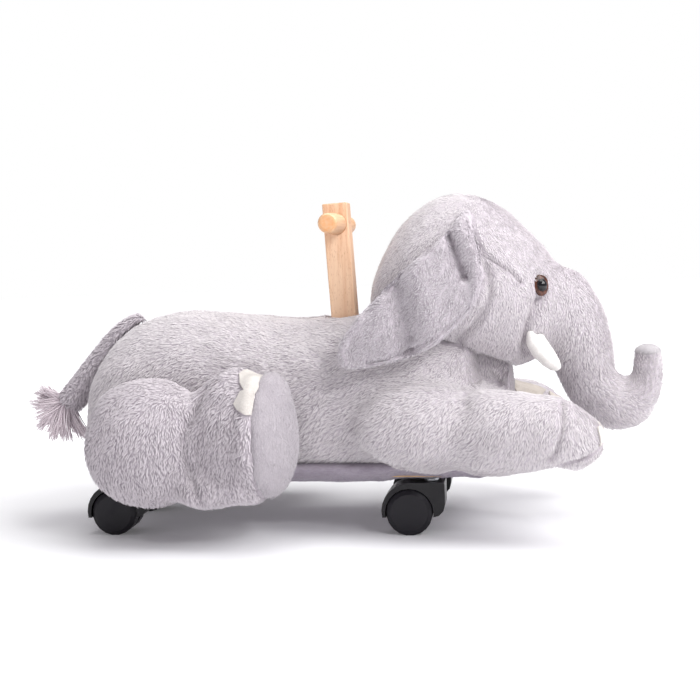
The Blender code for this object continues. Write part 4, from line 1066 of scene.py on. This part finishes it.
@dataclass
class StuffedForm:
    """One sewn form of the animal, which replaces its CAD solids."""

    name: str
    nodes: tuple[str, ...]
    fillers: tuple[str, ...] = ()
    stuffing: tuple[tuple[Point, Point], ...] = ()
    side: Side = Side.BOTH
    finish: Finish = BACKING
    slot: str = "grey_pile"
    voxel: float = 0.005
    join: float = 0.0
    inset: float = 0.0032
    evenings: int = 3
    swell: float = 0.004
    fill: float = 0.8
    lumps: float = 0.0012
    lump_size: float = 0.03
    seams: tuple[Seam, ...] = ()
    lay: Lay | None = field(default_factory=Lay)
    levels: int = 1
    skin: bpy.types.Object | None = None

    def cut(self) -> None:
        """Cuts the cloth: the CAD forms and balls of stuffing joined, remeshed and drawn in."""
        self.skin = copy_of([*self.nodes, *self.fillers], f"{self.name}_cloth")
        mesh = merged(self.skin.data)
        for centre, radii in self.stuffing:
            bmesh.ops.create_icosphere(mesh, subdivisions=3, radius=1.0,
                                       matrix=Matrix.Translation(centre) @ Matrix.Diagonal((*radii, 1.0)))
        mesh.to_mesh(self.skin.data)
        mesh.free()
        for step in (MM, self.join - MM) if self.join > MM else (self.join,):
            if step:
                modify(self.skin, "DISPLACE", strength=step, mid_level=0.0)
            modify(self.skin, "REMESH", mode="VOXEL", voxel_size=self.voxel)
        modify(self.skin, "SMOOTH", factor=0.5, iterations=self.evenings)
        modify(self.skin, "DISPLACE", strength=-self.inset - self.join, mid_level=0.0)
        applied(self.skin)

    def pump(self) -> None:
        """Gives the cloth its simulation: it swells against its own stretch."""
        cloth = modify(self.skin, "CLOTH")
        for name, setting in PLUSH_CLOTH.items():
            setattr(cloth.settings, name, setting)
        cloth.settings.effector_weights.gravity = 0
        cloth.collision_settings.use_collision = False

    def settle(self) -> None:
        """Takes the simulated shape, but moves no point further than the swell allows."""
        start = places(self.skin.data)
        blown = self.skin.evaluated_get(bpy.context.evaluated_depsgraph_get())
        moved = places(blown.to_mesh()) - start
        blown.to_mesh_clear()
        self.skin.modifiers.clear()
        far = np.linalg.norm(moved, axis=1, keepdims=True)
        put(self.skin.data, start + moved * np.minimum(1, self.swell / np.maximum(far, 1e-9)))

    def sew(self) -> None:
        """Refines the cloth, gives it the lumps of its stuffing, and draws in its seams."""
        if self.levels:
            modify(self.skin, "SUBSURF", levels=self.levels, render_levels=self.levels)
            applied(self.skin)
        mesh = self.skin.data
        where, normals = places(mesh), rows_of(mesh.vertex_normals, "vector").astype(float)
        lump = np.array([noise.noise(Vector(p) / self.lump_size) + 0.5 * noise.noise(Vector(p) / self.lump_size * 2.3)
                         for p in where])
        tree = tree_of(mesh)
        moved = where + normals * (lump * self.lumps)[:, None]
        for seam in self.seams:
            moved += seam.draw_in(where, normals, tree, self.side) - where
        put(mesh, moved)
        smooth(self.skin)
        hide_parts(*self.nodes)
        dress(self.skin, self.finish)


@dataclass
class DomedCap(StuffedForm):
    """A low stuffed dome that closes the end of a form."""

    rise: float = 0.0080
    share: float = 0.88
    levels: int = 0

    def cut(self) -> None:
        """Cuts the cloth as a dome over the CAD disc."""
        low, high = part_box(self.nodes[0])
        mesh = bmesh.new()
        bmesh.ops.create_icosphere(mesh, subdivisions=4, radius=1.0)
        bmesh.ops.scale(mesh, vec=((high.x - low.x) / 2 * self.share, (high.y - low.y) / 2 * self.share, self.rise),
                        verts=mesh.verts)
        bmesh.ops.translate(mesh, vec=((low.x + high.x) / 2, (low.y + high.y) / 2, low.z), verts=mesh.verts)
        self.skin = object_of(mesh, f"{self.name}_cloth")


BODY_COMB = ((24, 152, 212, 0), (83, 130, 230, 0.2), (136, 150, 246, 0.4), (188, 128, 256, 0.65),
             (230, 128, 268, 0.65), (280, 106, 282, 0.6), (-1, 206, 195, 0.3), (-77, 207, 190, 0.25),
             (-188, 209, 222, 0.25), (156, 97, 215, 0.4), (-25, 120, 214, 0), (-76, 234, 184, 0.5),
             (-240, 160, 250, 0.2))
HEAD_COMB = ((80, 330, 230, 0.5), (150, 350, 290, 0.6), (70, 260, 250, 0.4), (150, 290, 275, 0.5),
             (210, 310, 300, 0.7), (260, 270, 290, 0.5), (300, 200, 262, -0.5), (320, 130, 320, -0.6),
             (352, 160, 80, -0.4), (180, 230, 265, 0.5), (240, 230, 262, 0.4))
FOOT_COMB = ((-220, 129, 262, 0.3), (-175, 160, 250, 0.5), (-132, 150, 268, 0.3), (-123, 97, 272, 0.1),
             (-178, 86, 268, 0.25), (-89, 170, 250, 0.1), (-96, 118, 268, 0), (-82, 65, 280, 0.1),
             (-48, 60, 300, 0.2))
BODY_LAY = Lay(spacing=0.0021, length=0.0060, width=0.0018, thickness=0.0010, lock=0.0064, gather=0.45, lift=0.0022,
               comb=BODY_COMB, swirl=0.5)
HEAD_LAY = replace(BODY_LAY, length=0.0048, lock=0.0054, gather=0.36, comb=HEAD_COMB, swirl=0.8, swirl_size=0.014)
# The ear's pile: the lowered tones add painted shade, and rim=0.8 paints a highlight on the ear's edges.
EAR_LAY = replace(BODY_LAY, finish=SHADED_EAR_PILE, length=0.0048, lock=0.0058, gather=0.42,
                  comb=((40, 200, 235, 0.1), (150, 330, 240, 0.2)), swirl=1.0, swirl_size=0.013, tones=(-0.1, 0.5),
                  rim=0.8)
FOOT_LAY = Lay(LONG_PILE, TuftShape.SPINDLE, spacing=0.00245, length=0.0064, width=0.0018, thickness=0.0009,
               lock=0.0056, gather=0.50, lift=0.0022, comb=FOOT_COMB, swirl=0.9, swirl_size=0.011)
TAIL_LAY = replace(FOOT_LAY, finish=TAIL_PILE, comb=((-300, 190, 236, 0),), lift=0.0028)
NAP = Lay(SOLE_NAP, spacing=0.0022, length=0.0040, width=0.0013, thickness=0.0007, lock=0.005, gather=0.35,
          lift=0.0012, comb=((-40, 150, 262, 0.3),), swirl=0.35, swirl_size=0.02)

CHEEK_SEAM = Seam(((180, 300), (191, 292), (203, 284), (213, 272)), 0.0054, 0.0028)
EYE_CREASE = Seam(((234, 255), (229, 245), (223, 231), (219, 219), (216, 206), (216, 196)), 0.0085, 0.0055)
EAR_NOOK = Seam(((163, 322), (172, 304), (179, 285), (181, 266), (177, 249), (163, 227), (145, 208)), 0.0055, 0.0040)
BROW = Fold(((100, 0), (190, 0)), -0.0028, 0.030, face=Face.TOP, flat=0.030)
TRUNK_ROOT = Fold(((256, 0), (292, 0)), -0.0070, 0.018, face=Face.TOP, flat=0.010)
TRUNK_BEND = Fold(((262, 0), (300, 0), (335, 0)), -0.0050, 0.018, face=Face.BOTTOM, flat=0.012)
JAW = Fold(((172, 0), (208, 0)), -0.0045, 0.018, face=Face.BOTTOM, flat=0.045)
TOE_CREASE = Seam(((251, 154), (254, 142), (253, 131), (250, 121), (245, 106), (238, 93)), 0.0048, 0.0030)
SOLE_SEAM = Seam(((294, 110), (288, 103), (280, 97), (268, 91), (256, 86), (248, 82)), 0.0050, 0.0032)
STRIP_SEAM = Seam(((83, 82), (98, 71), (126, 67), (187, 71), (218, 76)), 0.0040, 0.0030)
SADDLE = Fold(((-100, 0), (-50, 0)), 0.0030, 0.030, face=Face.TOP, flat=0.020)
FAR_LEG_PRESS = Fold(((180, 120), (215, 122), (262, 132)), 0.0120, 0.026, face=Face.TOP)
FOOT_RISE = Fold(((262, -124), (292, -126)), 0.0055, 0.016, face=Face.BOTTOM, flat=0.018)
LEG_TOP = Fold(((192, -128), (236, -130)), -0.0048, 0.018, face=Face.TOP, flat=0.020)
SHOULDER = Fold(((186, 228), (186, 183)), 0.030, 0.006, flat=0.022)
THIGH_TOP = Fold(((-215, 128), (-150, 128)), -0.0062, 0.024, face=Face.TOP, flat=0.018)
FOOT_TOP = Fold(((-96, 130), (-46, 130)), -0.0052, 0.020, face=Face.TOP, flat=0.018)
THIGH_CREASE = Seam(((-116, 164), (-135, 128), (-137, 109), (-131, 83), (-118, 54)), 0.0050, 0.0040)
FOOT_CROWN = Seam(((-94, 176), (-74, 184), (-52, 182), (-38, 170)), -0.0055, 0.018)
SOLE_RIM = ((-54, 188), (-66, 168), (-70, 134), (-69, 98), (-63, 78))
SOLE_WELT = Seam(SOLE_RIM, -0.0040, 0.0070)
SOLE_TUCK = Seam(SOLE_RIM, 0.0060, 0.0080)
FLANK_FOLD = Seam(((-6, 197), (3, 180), (11, 163)), 0.0030, 0.0090)
EAR_POCKET = Fold(((133, 334), (140, 318), (147, 298), (154, 280)), 0.0150, 0.0054)
EAR_RIDGE = Fold(((152, 337), (164, 312), (170, 290), (171, 262), (164, 240)), -0.0085, 0.0085)
EAR_VALLEY = Fold(((78, 284), (84, 262), (90, 236), (94, 204)), 0.0115, 0.0110)
EAR_SWELL = Fold(((106, 296), (114, 262), (122, 226)), -0.0045, 0.0130)
EAR_HEM = Fold(((52, 193), (62, 194), (75, 197), (101, 207), (130, 222), (147, 235), (158, 248)), 0.0042, 0.0026)
EAR_RIM = Fold(((45, 240), (30, 219), (26, 203), (31, 190), (45, 185), (73, 189), (109, 198), (137, 212), (155, 229),
                (166, 245)), -0.0040, 0.0055)
CASTER_PRESS = tuple(Fold(((x, y), (x, y + 1)), 0.0030, 0.012, face=Face.BOTTOM, flat=0.035)
                     for x in (112, -220) for y in (-62, 62))


def forms() -> list[StuffedForm]:
    """Every stuffed form of the animal.

    Returns:
        The forms, the torso first.
    """
    made = [
        StuffedForm("torso", ("body_plush", "front_leg_right", "front_leg_left", "foam_core", "front_sole_right",
                              "front_sole_left"), ("base_board",),
                    (((0.108, -0.096, 0.119), (0.080, 0.048, 0.049)), ((0.104, 0.098, 0.128), (0.074, 0.046, 0.050))),
                    join=0.009, voxel=0.005, inset=0.0036,
                    seams=(TOE_CREASE, SOLE_SEAM, STRIP_SEAM, FLANK_FOLD, SHOULDER, FAR_LEG_PRESS, FOOT_RISE,
                           LEG_TOP, SADDLE), lay=BODY_LAY),
        StuffedForm("head", ("head", "trunk"), ("trunk_tip",), join=0.004, voxel=0.0045, inset=0.0018,
                    seams=(CHEEK_SEAM, EYE_CREASE, EAR_NOOK, BROW, TRUNK_ROOT, TRUNK_BEND, JAW), lay=HEAD_LAY,
                    swell=0.003, lumps=0.0010),
        DomedCap("trunk_tip", ("trunk_tip",), finish=CAP, slot="pale_sole_fabric", swell=0.0005, lumps=0.0002,
                 lay=replace(NAP, finish=CAP_NAP, length=0.003), fill=0.7),
        StuffedForm("belly", ("belly_cover",), ("base_board",), finish=BELLY, slot="short_grey_pile", voxel=0.004,
                    join=0.0018, inset=-0.0022, swell=0.002, lumps=0.0010, fill=0.3, seams=CASTER_PRESS,
                    lay=replace(NAP, finish=BELLY_NAP, comb=((0, 70, 185, 0.3),))),
        StuffedForm("tail", ("tail",), lay=TAIL_LAY, voxel=0.003, swell=0.002, inset=-0.0002, lumps=0.0005),
    ]
    for side in (Side.RIGHT, Side.LEFT):
        end = side.name.lower()
        made += [
            StuffedForm(f"ear_{end}", (f"ear_{end}",), side=side, lay=EAR_LAY, voxel=0.003, inset=0.0020,
                        swell=0.002, lumps=0.0006, fill=0.4,
                        seams=(EAR_POCKET, EAR_RIDGE, EAR_VALLEY, EAR_SWELL, EAR_RIM, EAR_HEM)),
            StuffedForm(f"rear_leg_{end}", (f"rear_leg_{end}", f"rear_foot_{end}"), (f"rear_sole_{end}",),
                        (((-0.115, side.value[0] * 0.138, 0.063), (0.046, 0.036, 0.025)),
                         ((-0.078, side.value[0] * 0.138, 0.066), (0.034, 0.034, 0.024))), side=side, join=0.0018,
                        lay=FOOT_LAY, swell=0.003,
                        seams=(THIGH_CREASE, FOOT_CROWN, SOLE_WELT, THIGH_TOP, FOOT_TOP)),
            StuffedForm(f"rear_sole_{end}", (f"rear_sole_{end}",), side=side, finish=SOLE, slot="pale_sole_fabric",
                        voxel=0.0028, inset=0.0003, swell=0.002, lumps=0.0004, lay=NAP, fill=0.5,
                        seams=(FOOT_CROWN, SOLE_TUCK, FOOT_TOP)),
        ]
    return made


class Plush:
    """The sewn animal: its stuffed forms and their pile."""

    def __init__(self) -> None:
        """Keeps the forms."""
        self.forms = forms()

    def cover_of(self, form: StuffedForm, extra: Iterable[bpy.types.Object]) -> BVHTree:
        """What stands near a form and keeps pile off it.

        Args:
            form: the form.
            extra: new pieces that lie on it.

        Returns:
            The tree of all other CAD nodes near it, and the extra pieces.
        """
        corners = [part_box(node) for node in form.nodes]
        low = [min(c[0][i] for c in corners) - 0.006 for i in range(3)]
        high = [max(c[1][i] for c in corners) + 0.006 for i in range(3)]
        near = []
        for name, node in frame["nodes"].items():
            a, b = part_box(name)
            if name not in form.nodes and all(a[i] < high[i] and b[i] > low[i] for i in range(3)):
                near.append(node.data)
        return tree_of(*near, *(piece.data for piece in extra))

    def build(self) -> None:
        """Cuts, pumps, sews and dresses every form."""
        for form in self.forms:
            form.cut()
        scene = bpy.context.scene
        for form in self.forms:
            form.pump()
        for step in range(1, 21):
            scene.frame_set(step)
        for form in self.forms:
            form.settle()
        scene.frame_set(1)
        for form in self.forms:
            form.sew()

    def lay_pile(self, extra: Sequence[bpy.types.Object]) -> None:
        """Lays the pile on every form that has it, except under the extra pieces."""
        layer = PileLayer()
        for seed, form in enumerate(self.forms):
            if form.lay:
                layer.lay(form.skin, form.lay, self.cover_of(form, extra), 100 + seed, form.slot)
        for pattern in layer.patterns.values():
            bpy.data.objects.remove(pattern)


@dataclass
class Eyes:
    """Two domed eyes: a black dome in a brown plastic ring with an uneven rim."""

    ring: Point = (0.0096, 0.0114, 0.0026)
    dome: Point = (0.0063, 0.0071, 0.0056)
    aim: Point = (0.42, 0.90, 0.10)
    uneven: float = 0.0012
    follow: float = 0.8

    def _part(self, name: str, finish: Finish, size: Point, place: Matrix) -> bpy.types.Object:
        """Makes a flattened ball of the eye.

        Args:
            name: the piece's name.
            finish: its finish.
            size: half its width, its height and its rise.
            place: where it goes, with Z outwards.

        Returns:
            The piece.
        """
        mesh = bmesh.new()
        bmesh.ops.create_uvsphere(mesh, u_segments=40, v_segments=24, radius=1.0)
        bmesh.ops.scale(mesh, vec=size, verts=mesh.verts)
        if finish is IRIS:
            for vertex in mesh.verts:
                flat = Vector((vertex.co.x, vertex.co.y, 0))
                if flat.length > 1e-6:
                    wave = noise.noise(flat.normalized() * 1.6 + Vector((4.0, 2.0, 1.0)))
                    vertex.co += flat.normalized() * wave * self.uneven * (flat.length / size[0])
        bmesh.ops.transform(mesh, matrix=place, verts=mesh.verts)
        piece = object_of(mesh, name)
        smooth(piece)
        return dress(piece, finish)

    def build(self, face: bpy.types.Object) -> list[bpy.types.Object]:
        """Makes both eyes, each on the face where its CAD eye is, and turned with the face.

        Args:
            face: the head's cloth.

        Returns:
            The rings and domes.
        """
        made = []
        for side, mirror in SIDES:
            low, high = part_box(f"eye_{side}")
            aim = Vector((self.aim[0], mirror * self.aim[1], self.aim[2])).normalized()
            centre, normal = face.closest_point_on_mesh((low + high) / 2)[1:3]
            aim = (aim + normal * self.follow).normalized()
            turn = aim.to_track_quat("Z", "Y").to_matrix().to_4x4()
            for part, finish, size, rise in (("ring", IRIS, self.ring, 0.0014), ("dome", PUPIL, self.dome, 0.0024)):
                made.append(self._part(f"eye_{side}_{part}", finish, size,
                                       Matrix.Translation(centre + aim * rise) @ turn))
            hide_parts(f"eye_{side}")
        return made


@dataclass(frozen=True)
class Nail:
    """A felt toenail, known by the corners of its outline as seen from one point.

    Its way is the sign of Y of the feet that it lies on. It ends at its far side, before the foot turns away.
    """

    name: str
    seen_from: Point
    corners: tuple[Point, ...]
    way: int = -1
    finish: Finish = NAIL_FELT
    far_side: float = 1.0

    @classmethod
    def drawn(cls, name: str, *pixels: tuple[float, float], **settings: object) -> "Nail":
        """A nail whose outline is drawn over the photograph."""
        eye = CAMERA.eye()
        return cls(name, tuple(eye), tuple(tuple(eye + CAMERA.ray(x, y)) for x, y in pixels), **settings)

    @classmethod
    def placed(cls, name: str, centre: Point, facing: Point, wide: float, tall: float) -> "Nail":
        """A nail with a straight foot and a round top.

        Args:
            name: the nail's name.
            centre: the middle of its foot.
            facing: the way it faces.
            wide: its width.
            tall: its height.

        Returns:
            The nail.
        """
        out = Vector(facing).normalized()
        across = Vector((0, 0, 1)).cross(out).normalized()
        up = out.cross(across)
        steps = [math.radians(a) for a in range(0, 181, 20)]
        corners = [Vector(centre) + across * math.cos(a) * wide / 2 + up * math.sin(a) * tall for a in steps]
        return cls(name, tuple(Vector(centre) + out * 0.4), tuple(tuple(c) for c in corners))

    def mirrored(self) -> "Nail":
        """The same nail on the other side of the animal."""
        return replace(self, seen_from=(self.seen_from[0], -self.seen_from[1], self.seen_from[2]),
                       corners=tuple((x, -y, z) for x, y, z in self.corners), way=-self.way)

    def build(self, skin: bpy.types.Object, lift: float = 0.0024, thick: float = 0.0018) -> bpy.types.Object:
        """Cuts the nail out of the skin that it lies on.

        Args:
            skin: the form's cloth.
            lift: how far the felt's face stands off the cloth.
            thick: the felt's thickness.

        Returns:
            The nail.
        """
        mesh = merged(skin.data)
        slice_off(mesh, (0, self.way * FEET_FROM_MIDDLE, 0), (0, -self.way, 0))
        slice_off(mesh, (0, self.way * self.far_side, 0), (0, self.way, 0))
        eye = Vector(self.seen_from)
        corners = [Vector(c) for c in self.corners]
        middle = sum(corners, Vector()) / len(corners)
        for a, b in zip(corners, [*corners[1:], corners[0]]):
            across = (a - eye).cross(b - eye).normalized()
            if across.dot(middle - eye) > 0:
                across.negate()
            slice_off(mesh, eye, across, 1e-6)
        nearest = min((face.calc_center_median() - eye).length for face in mesh.faces)
        away = [face for face in mesh.faces if face.normal.dot(face.calc_center_median() - eye) > 0
                or (face.calc_center_median() - eye).length > nearest + 0.04]
        bmesh.ops.delete(mesh, geom=away, context="FACES")
        mesh.normal_update()
        for vertex in mesh.verts:
            vertex.co += vertex.normal * lift
        bmesh.ops.solidify(mesh, geom=mesh.faces[:], thickness=thick)
        bmesh.ops.recalc_face_normals(mesh, faces=mesh.faces)
        piece = object_of(mesh, self.name)
        modify(piece, "BEVEL", width=0.0009, segments=2, angle_limit=math.radians(50))
        applied(piece)
        smooth(piece)
        return dress(piece, self.finish)


REAR_NAILS = (
    Nail.drawn("upper", (239, 375), (243, 371.8), (249.5, 370.2), (259, 370.2), (267, 373), (254.5, 395), (250, 396),
               (244.6, 390.5), (240, 383.5)),
    Nail.drawn("lower", (241.2, 392.2), (246, 390.6), (255, 392), (250.8, 415.5), (245, 415.5), (237.8, 410),
               (234.1, 404.5)),
)
NEAR_NAILS = (
    Nail.placed("first", (0.291, -0.134, 0.108), (0.88, -0.30, 0.30), 0.015, 0.018),
    Nail.placed("second", (0.294, -0.112, 0.110), (0.95, 0.12, 0.30), 0.016, 0.018),
)
# The far front foot's nails take the nail felt with painted shade.
FAR_NAILS = (
    Nail.drawn("first", (514, 370), (546.8, 370), (546.8, 389), (541, 397), (530, 399), (519, 396), (514, 389),
               way=1, finish=SHADED_NAIL_FELT, far_side=0.130),
    Nail.drawn("second", (548, 370), (574, 370), (576, 394), (571, 402), (560, 404), (551, 400), (548, 391),
               way=1, finish=SHADED_NAIL_FELT, far_side=0.130),
)


@dataclass
class Toenails:
    """White felt toenails on all four feet."""

    rear: tuple[Nail, ...] = REAR_NAILS
    near: tuple[Nail, ...] = NEAR_NAILS
    far: tuple[Nail, ...] = FAR_NAILS

    def build(self, skins: dict[str, bpy.types.Object]) -> list[bpy.types.Object]:
        """Makes the nails.

        Args:
            skins: each form's cloth by the form's name.

        Returns:
            The nails.
        """
        feet = (("rear", "right", self.rear), ("rear", "left", tuple(nail.mirrored() for nail in self.rear)),
                ("front", "right", self.near), ("front", "left", self.far))
        return [replace(nail, name=f"{end}_toenail_{side}_{nail.name}").build(
                skins["torso" if end == "front" else f"rear_leg_{side}"])
                for end, side, nails in feet for nail in nails]


@dataclass
class TailTuft:
    """The end of the tail: strands of yarn that fan out from one knot, in small bunches."""

    root: Point = (-0.3190, 0.0, 0.1500)
    way: float = math.radians(226)
    strands: int = 560
    bunches: int = 56
    thick: float = 0.00105
    reach: tuple[tuple[float, float], ...] = ((156, 0.029), (172, 0.043), (190, 0.048), (215, 0.055), (235, 0.058),
                                              (249, 0.060), (270, 0.055), (298, 0.057))
    spread: float = 30.0
    bends: int = 6

    def _pattern(self) -> bpy.types.Mesh:
        """One straight strand along Z from 0 to 1, thinner at its tip, with its map.

        Returns:
            The strand's mesh.
        """
        mesh = bmesh.new()
        bmesh.ops.create_cone(mesh, cap_ends=True, segments=5, radius1=1.0, radius2=0.35, depth=1.0)
        long = [edge for edge in mesh.edges if abs(edge.verts[0].co.z - edge.verts[1].co.z) > 0.5]
        bmesh.ops.subdivide_edges(mesh, edges=long, cuts=self.bends)
        bmesh.ops.translate(mesh, vec=(0, 0, 0.5), verts=mesh.verts)
        drawn = mesh.loops.layers.uv.new(PILE_MAP)
        for face in mesh.faces:
            for corner in face.loops:
                corner[drawn].uv = (0.15 + 0.8 * corner.vert.co.z, 0.5)
        data = bpy.data.meshes.new("strand")
        mesh.to_mesh(data)
        mesh.free()
        return data

    def build(self) -> bpy.types.Object:
        """Bends a copy of the strand along each curve of the fan.

        Returns:
            The tuft, which stands for the CAD tuft.
        """
        random = np.random.default_rng(11)
        pattern = self._pattern()
        mesh = bmesh.new()
        root, out = Vector(self.root), Vector((math.cos(self.way), 0, math.sin(self.way)))
        first, last = self.reach[0][0], self.reach[-1][0]
        tips = []
        for bunch in range(self.bunches):
            turn = first + (last - first) * (bunch + random.uniform(0.1, 0.9)) / self.bunches
            lean = math.radians(random.uniform(-self.spread, self.spread))
            length = float(np.interp(turn, *zip(*self.reach))) * random.uniform(0.80, 1.03)
            tips.append(root + length * Vector((math.cos(math.radians(turn)) * math.cos(lean), math.sin(lean),
                                                math.sin(math.radians(turn)) * math.cos(lean))))
        for strand in range(self.strands):
            tip = tips[strand % self.bunches] + Vector(random.normal(0, 0.0022, 3))
            start = root + Vector(random.normal(0, 0.0022, 3))
            middle = start + out * 0.012 + (tip - root) * 0.25 + Vector(random.normal(0, 0.0020, 3))
            known = len(mesh.verts)
            mesh.from_mesh(pattern)
            mesh.verts.ensure_lookup_table()
            for vertex in mesh.verts[known:]:
                t = vertex.co.z
                along = ((middle - start) * (1 - t) + (tip - middle) * t).normalized()
                across = along.cross(Vector((0, 1, 0.2))).normalized()
                width = self.thick * (0.75 + 0.5 * math.sin(math.pi * t))
                vertex.co = (start * (1 - t) ** 2 + middle * 2 * t * (1 - t) + tip * t * t
                             + across * vertex.co.x * width + along.cross(across) * vertex.co.y * width)
            tone = float(random.random())
            drawn = mesh.loops.layers.uv[PILE_MAP]
            mesh.faces.ensure_lookup_table()
            for face in mesh.faces[-len(pattern.polygons):]:
                for corner in face.loops:
                    corner[drawn].uv.y = tone
        bmesh.ops.recalc_face_normals(mesh, faces=mesh.faces)
        piece = object_of(mesh, "tail_tuft_strands")
        smooth(piece)
        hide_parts("tail_tuft")
        return dress(piece, YARN)


@dataclass
class Tusks:
    """Two stuffed felt tusks."""

    voxel: float = 0.0014
    curve: tuple[tuple[float, float, float], ...] = ((0.2215, 0.2150, 0.0046), (0.2245, 0.2060, 0.0080),
                                                     (0.2310, 0.1960, 0.0090), (0.2385, 0.1870, 0.0080),
                                                     (0.2450, 0.1805, 0.0060))
    count: int = 17
    from_middle: float = 0.056

    def build(self) -> None:
        """Makes both tusks from their CAD forms, with the stuffing that fattens their roots."""
        at = np.linspace(0, 1, len(self.curve))
        balls = [[float(np.interp(t, at, row)) for row in zip(*self.curve)] for t in np.linspace(0, 1, self.count)]
        for side, way in SIDES:
            form = StuffedForm(f"tusk_{side}", (f"tusk_{side}",), evenings=8,
                               stuffing=tuple(((x, way * self.from_middle, z), (r, r, r)) for x, z, r in balls),
                               finish=FELT, slot="white_felt", voxel=self.voxel,
                               inset=0.0002, swell=0.0, lumps=0.0003, lump_size=0.012, lay=None, levels=0)
            form.cut()
            form.sew()


def dress_nodes() -> None:
    """Gives every CAD node that stays in sight its finish."""
    finishes = {
        "beech": POST_WOOD, "plywood": PLYWOOD, "foam": FOAM, "zinc_steel": STEEL, "black_nylon": HOOD_NYLON,
        "washer_plastic": WASHER, "white_felt": FELT, "eye_plastic": PUPIL, "tuft_yarn": YARN,
        "grey_pile": BACKING, "short_grey_pile": BELLY, "pale_sole_fabric": SOLE,
    }
    slots = {entry["node"]: entry["material_slot"] for entry in frame["record"]["subparts"]}
    for name, node in frame["nodes"].items():
        finish = finishes[slots[name]]
        if name == "handle_dowel":
            finish = DOWEL_WOOD
        if "_wheel_" in name:
            finish = WHEEL_NYLON
        node.data.materials.clear()
        node.data.materials.append(finish.material())


def main() -> None:
    """Builds the studio, the animal and its fittings."""
    logging.basicConfig(level=logging.INFO, format="%(message)s")
    Studio().build()
    dress_nodes()
    plush = Plush()
    plush.build()
    skins = {form.name: form.skin for form in plush.forms}
    extra = Eyes().build(skins["head"]) + Toenails().build(skins)
    Tusks().build()
    TailTuft().build()
    plush.lay_pile(extra)
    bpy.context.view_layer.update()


if __name__ == "__main__":
    main()
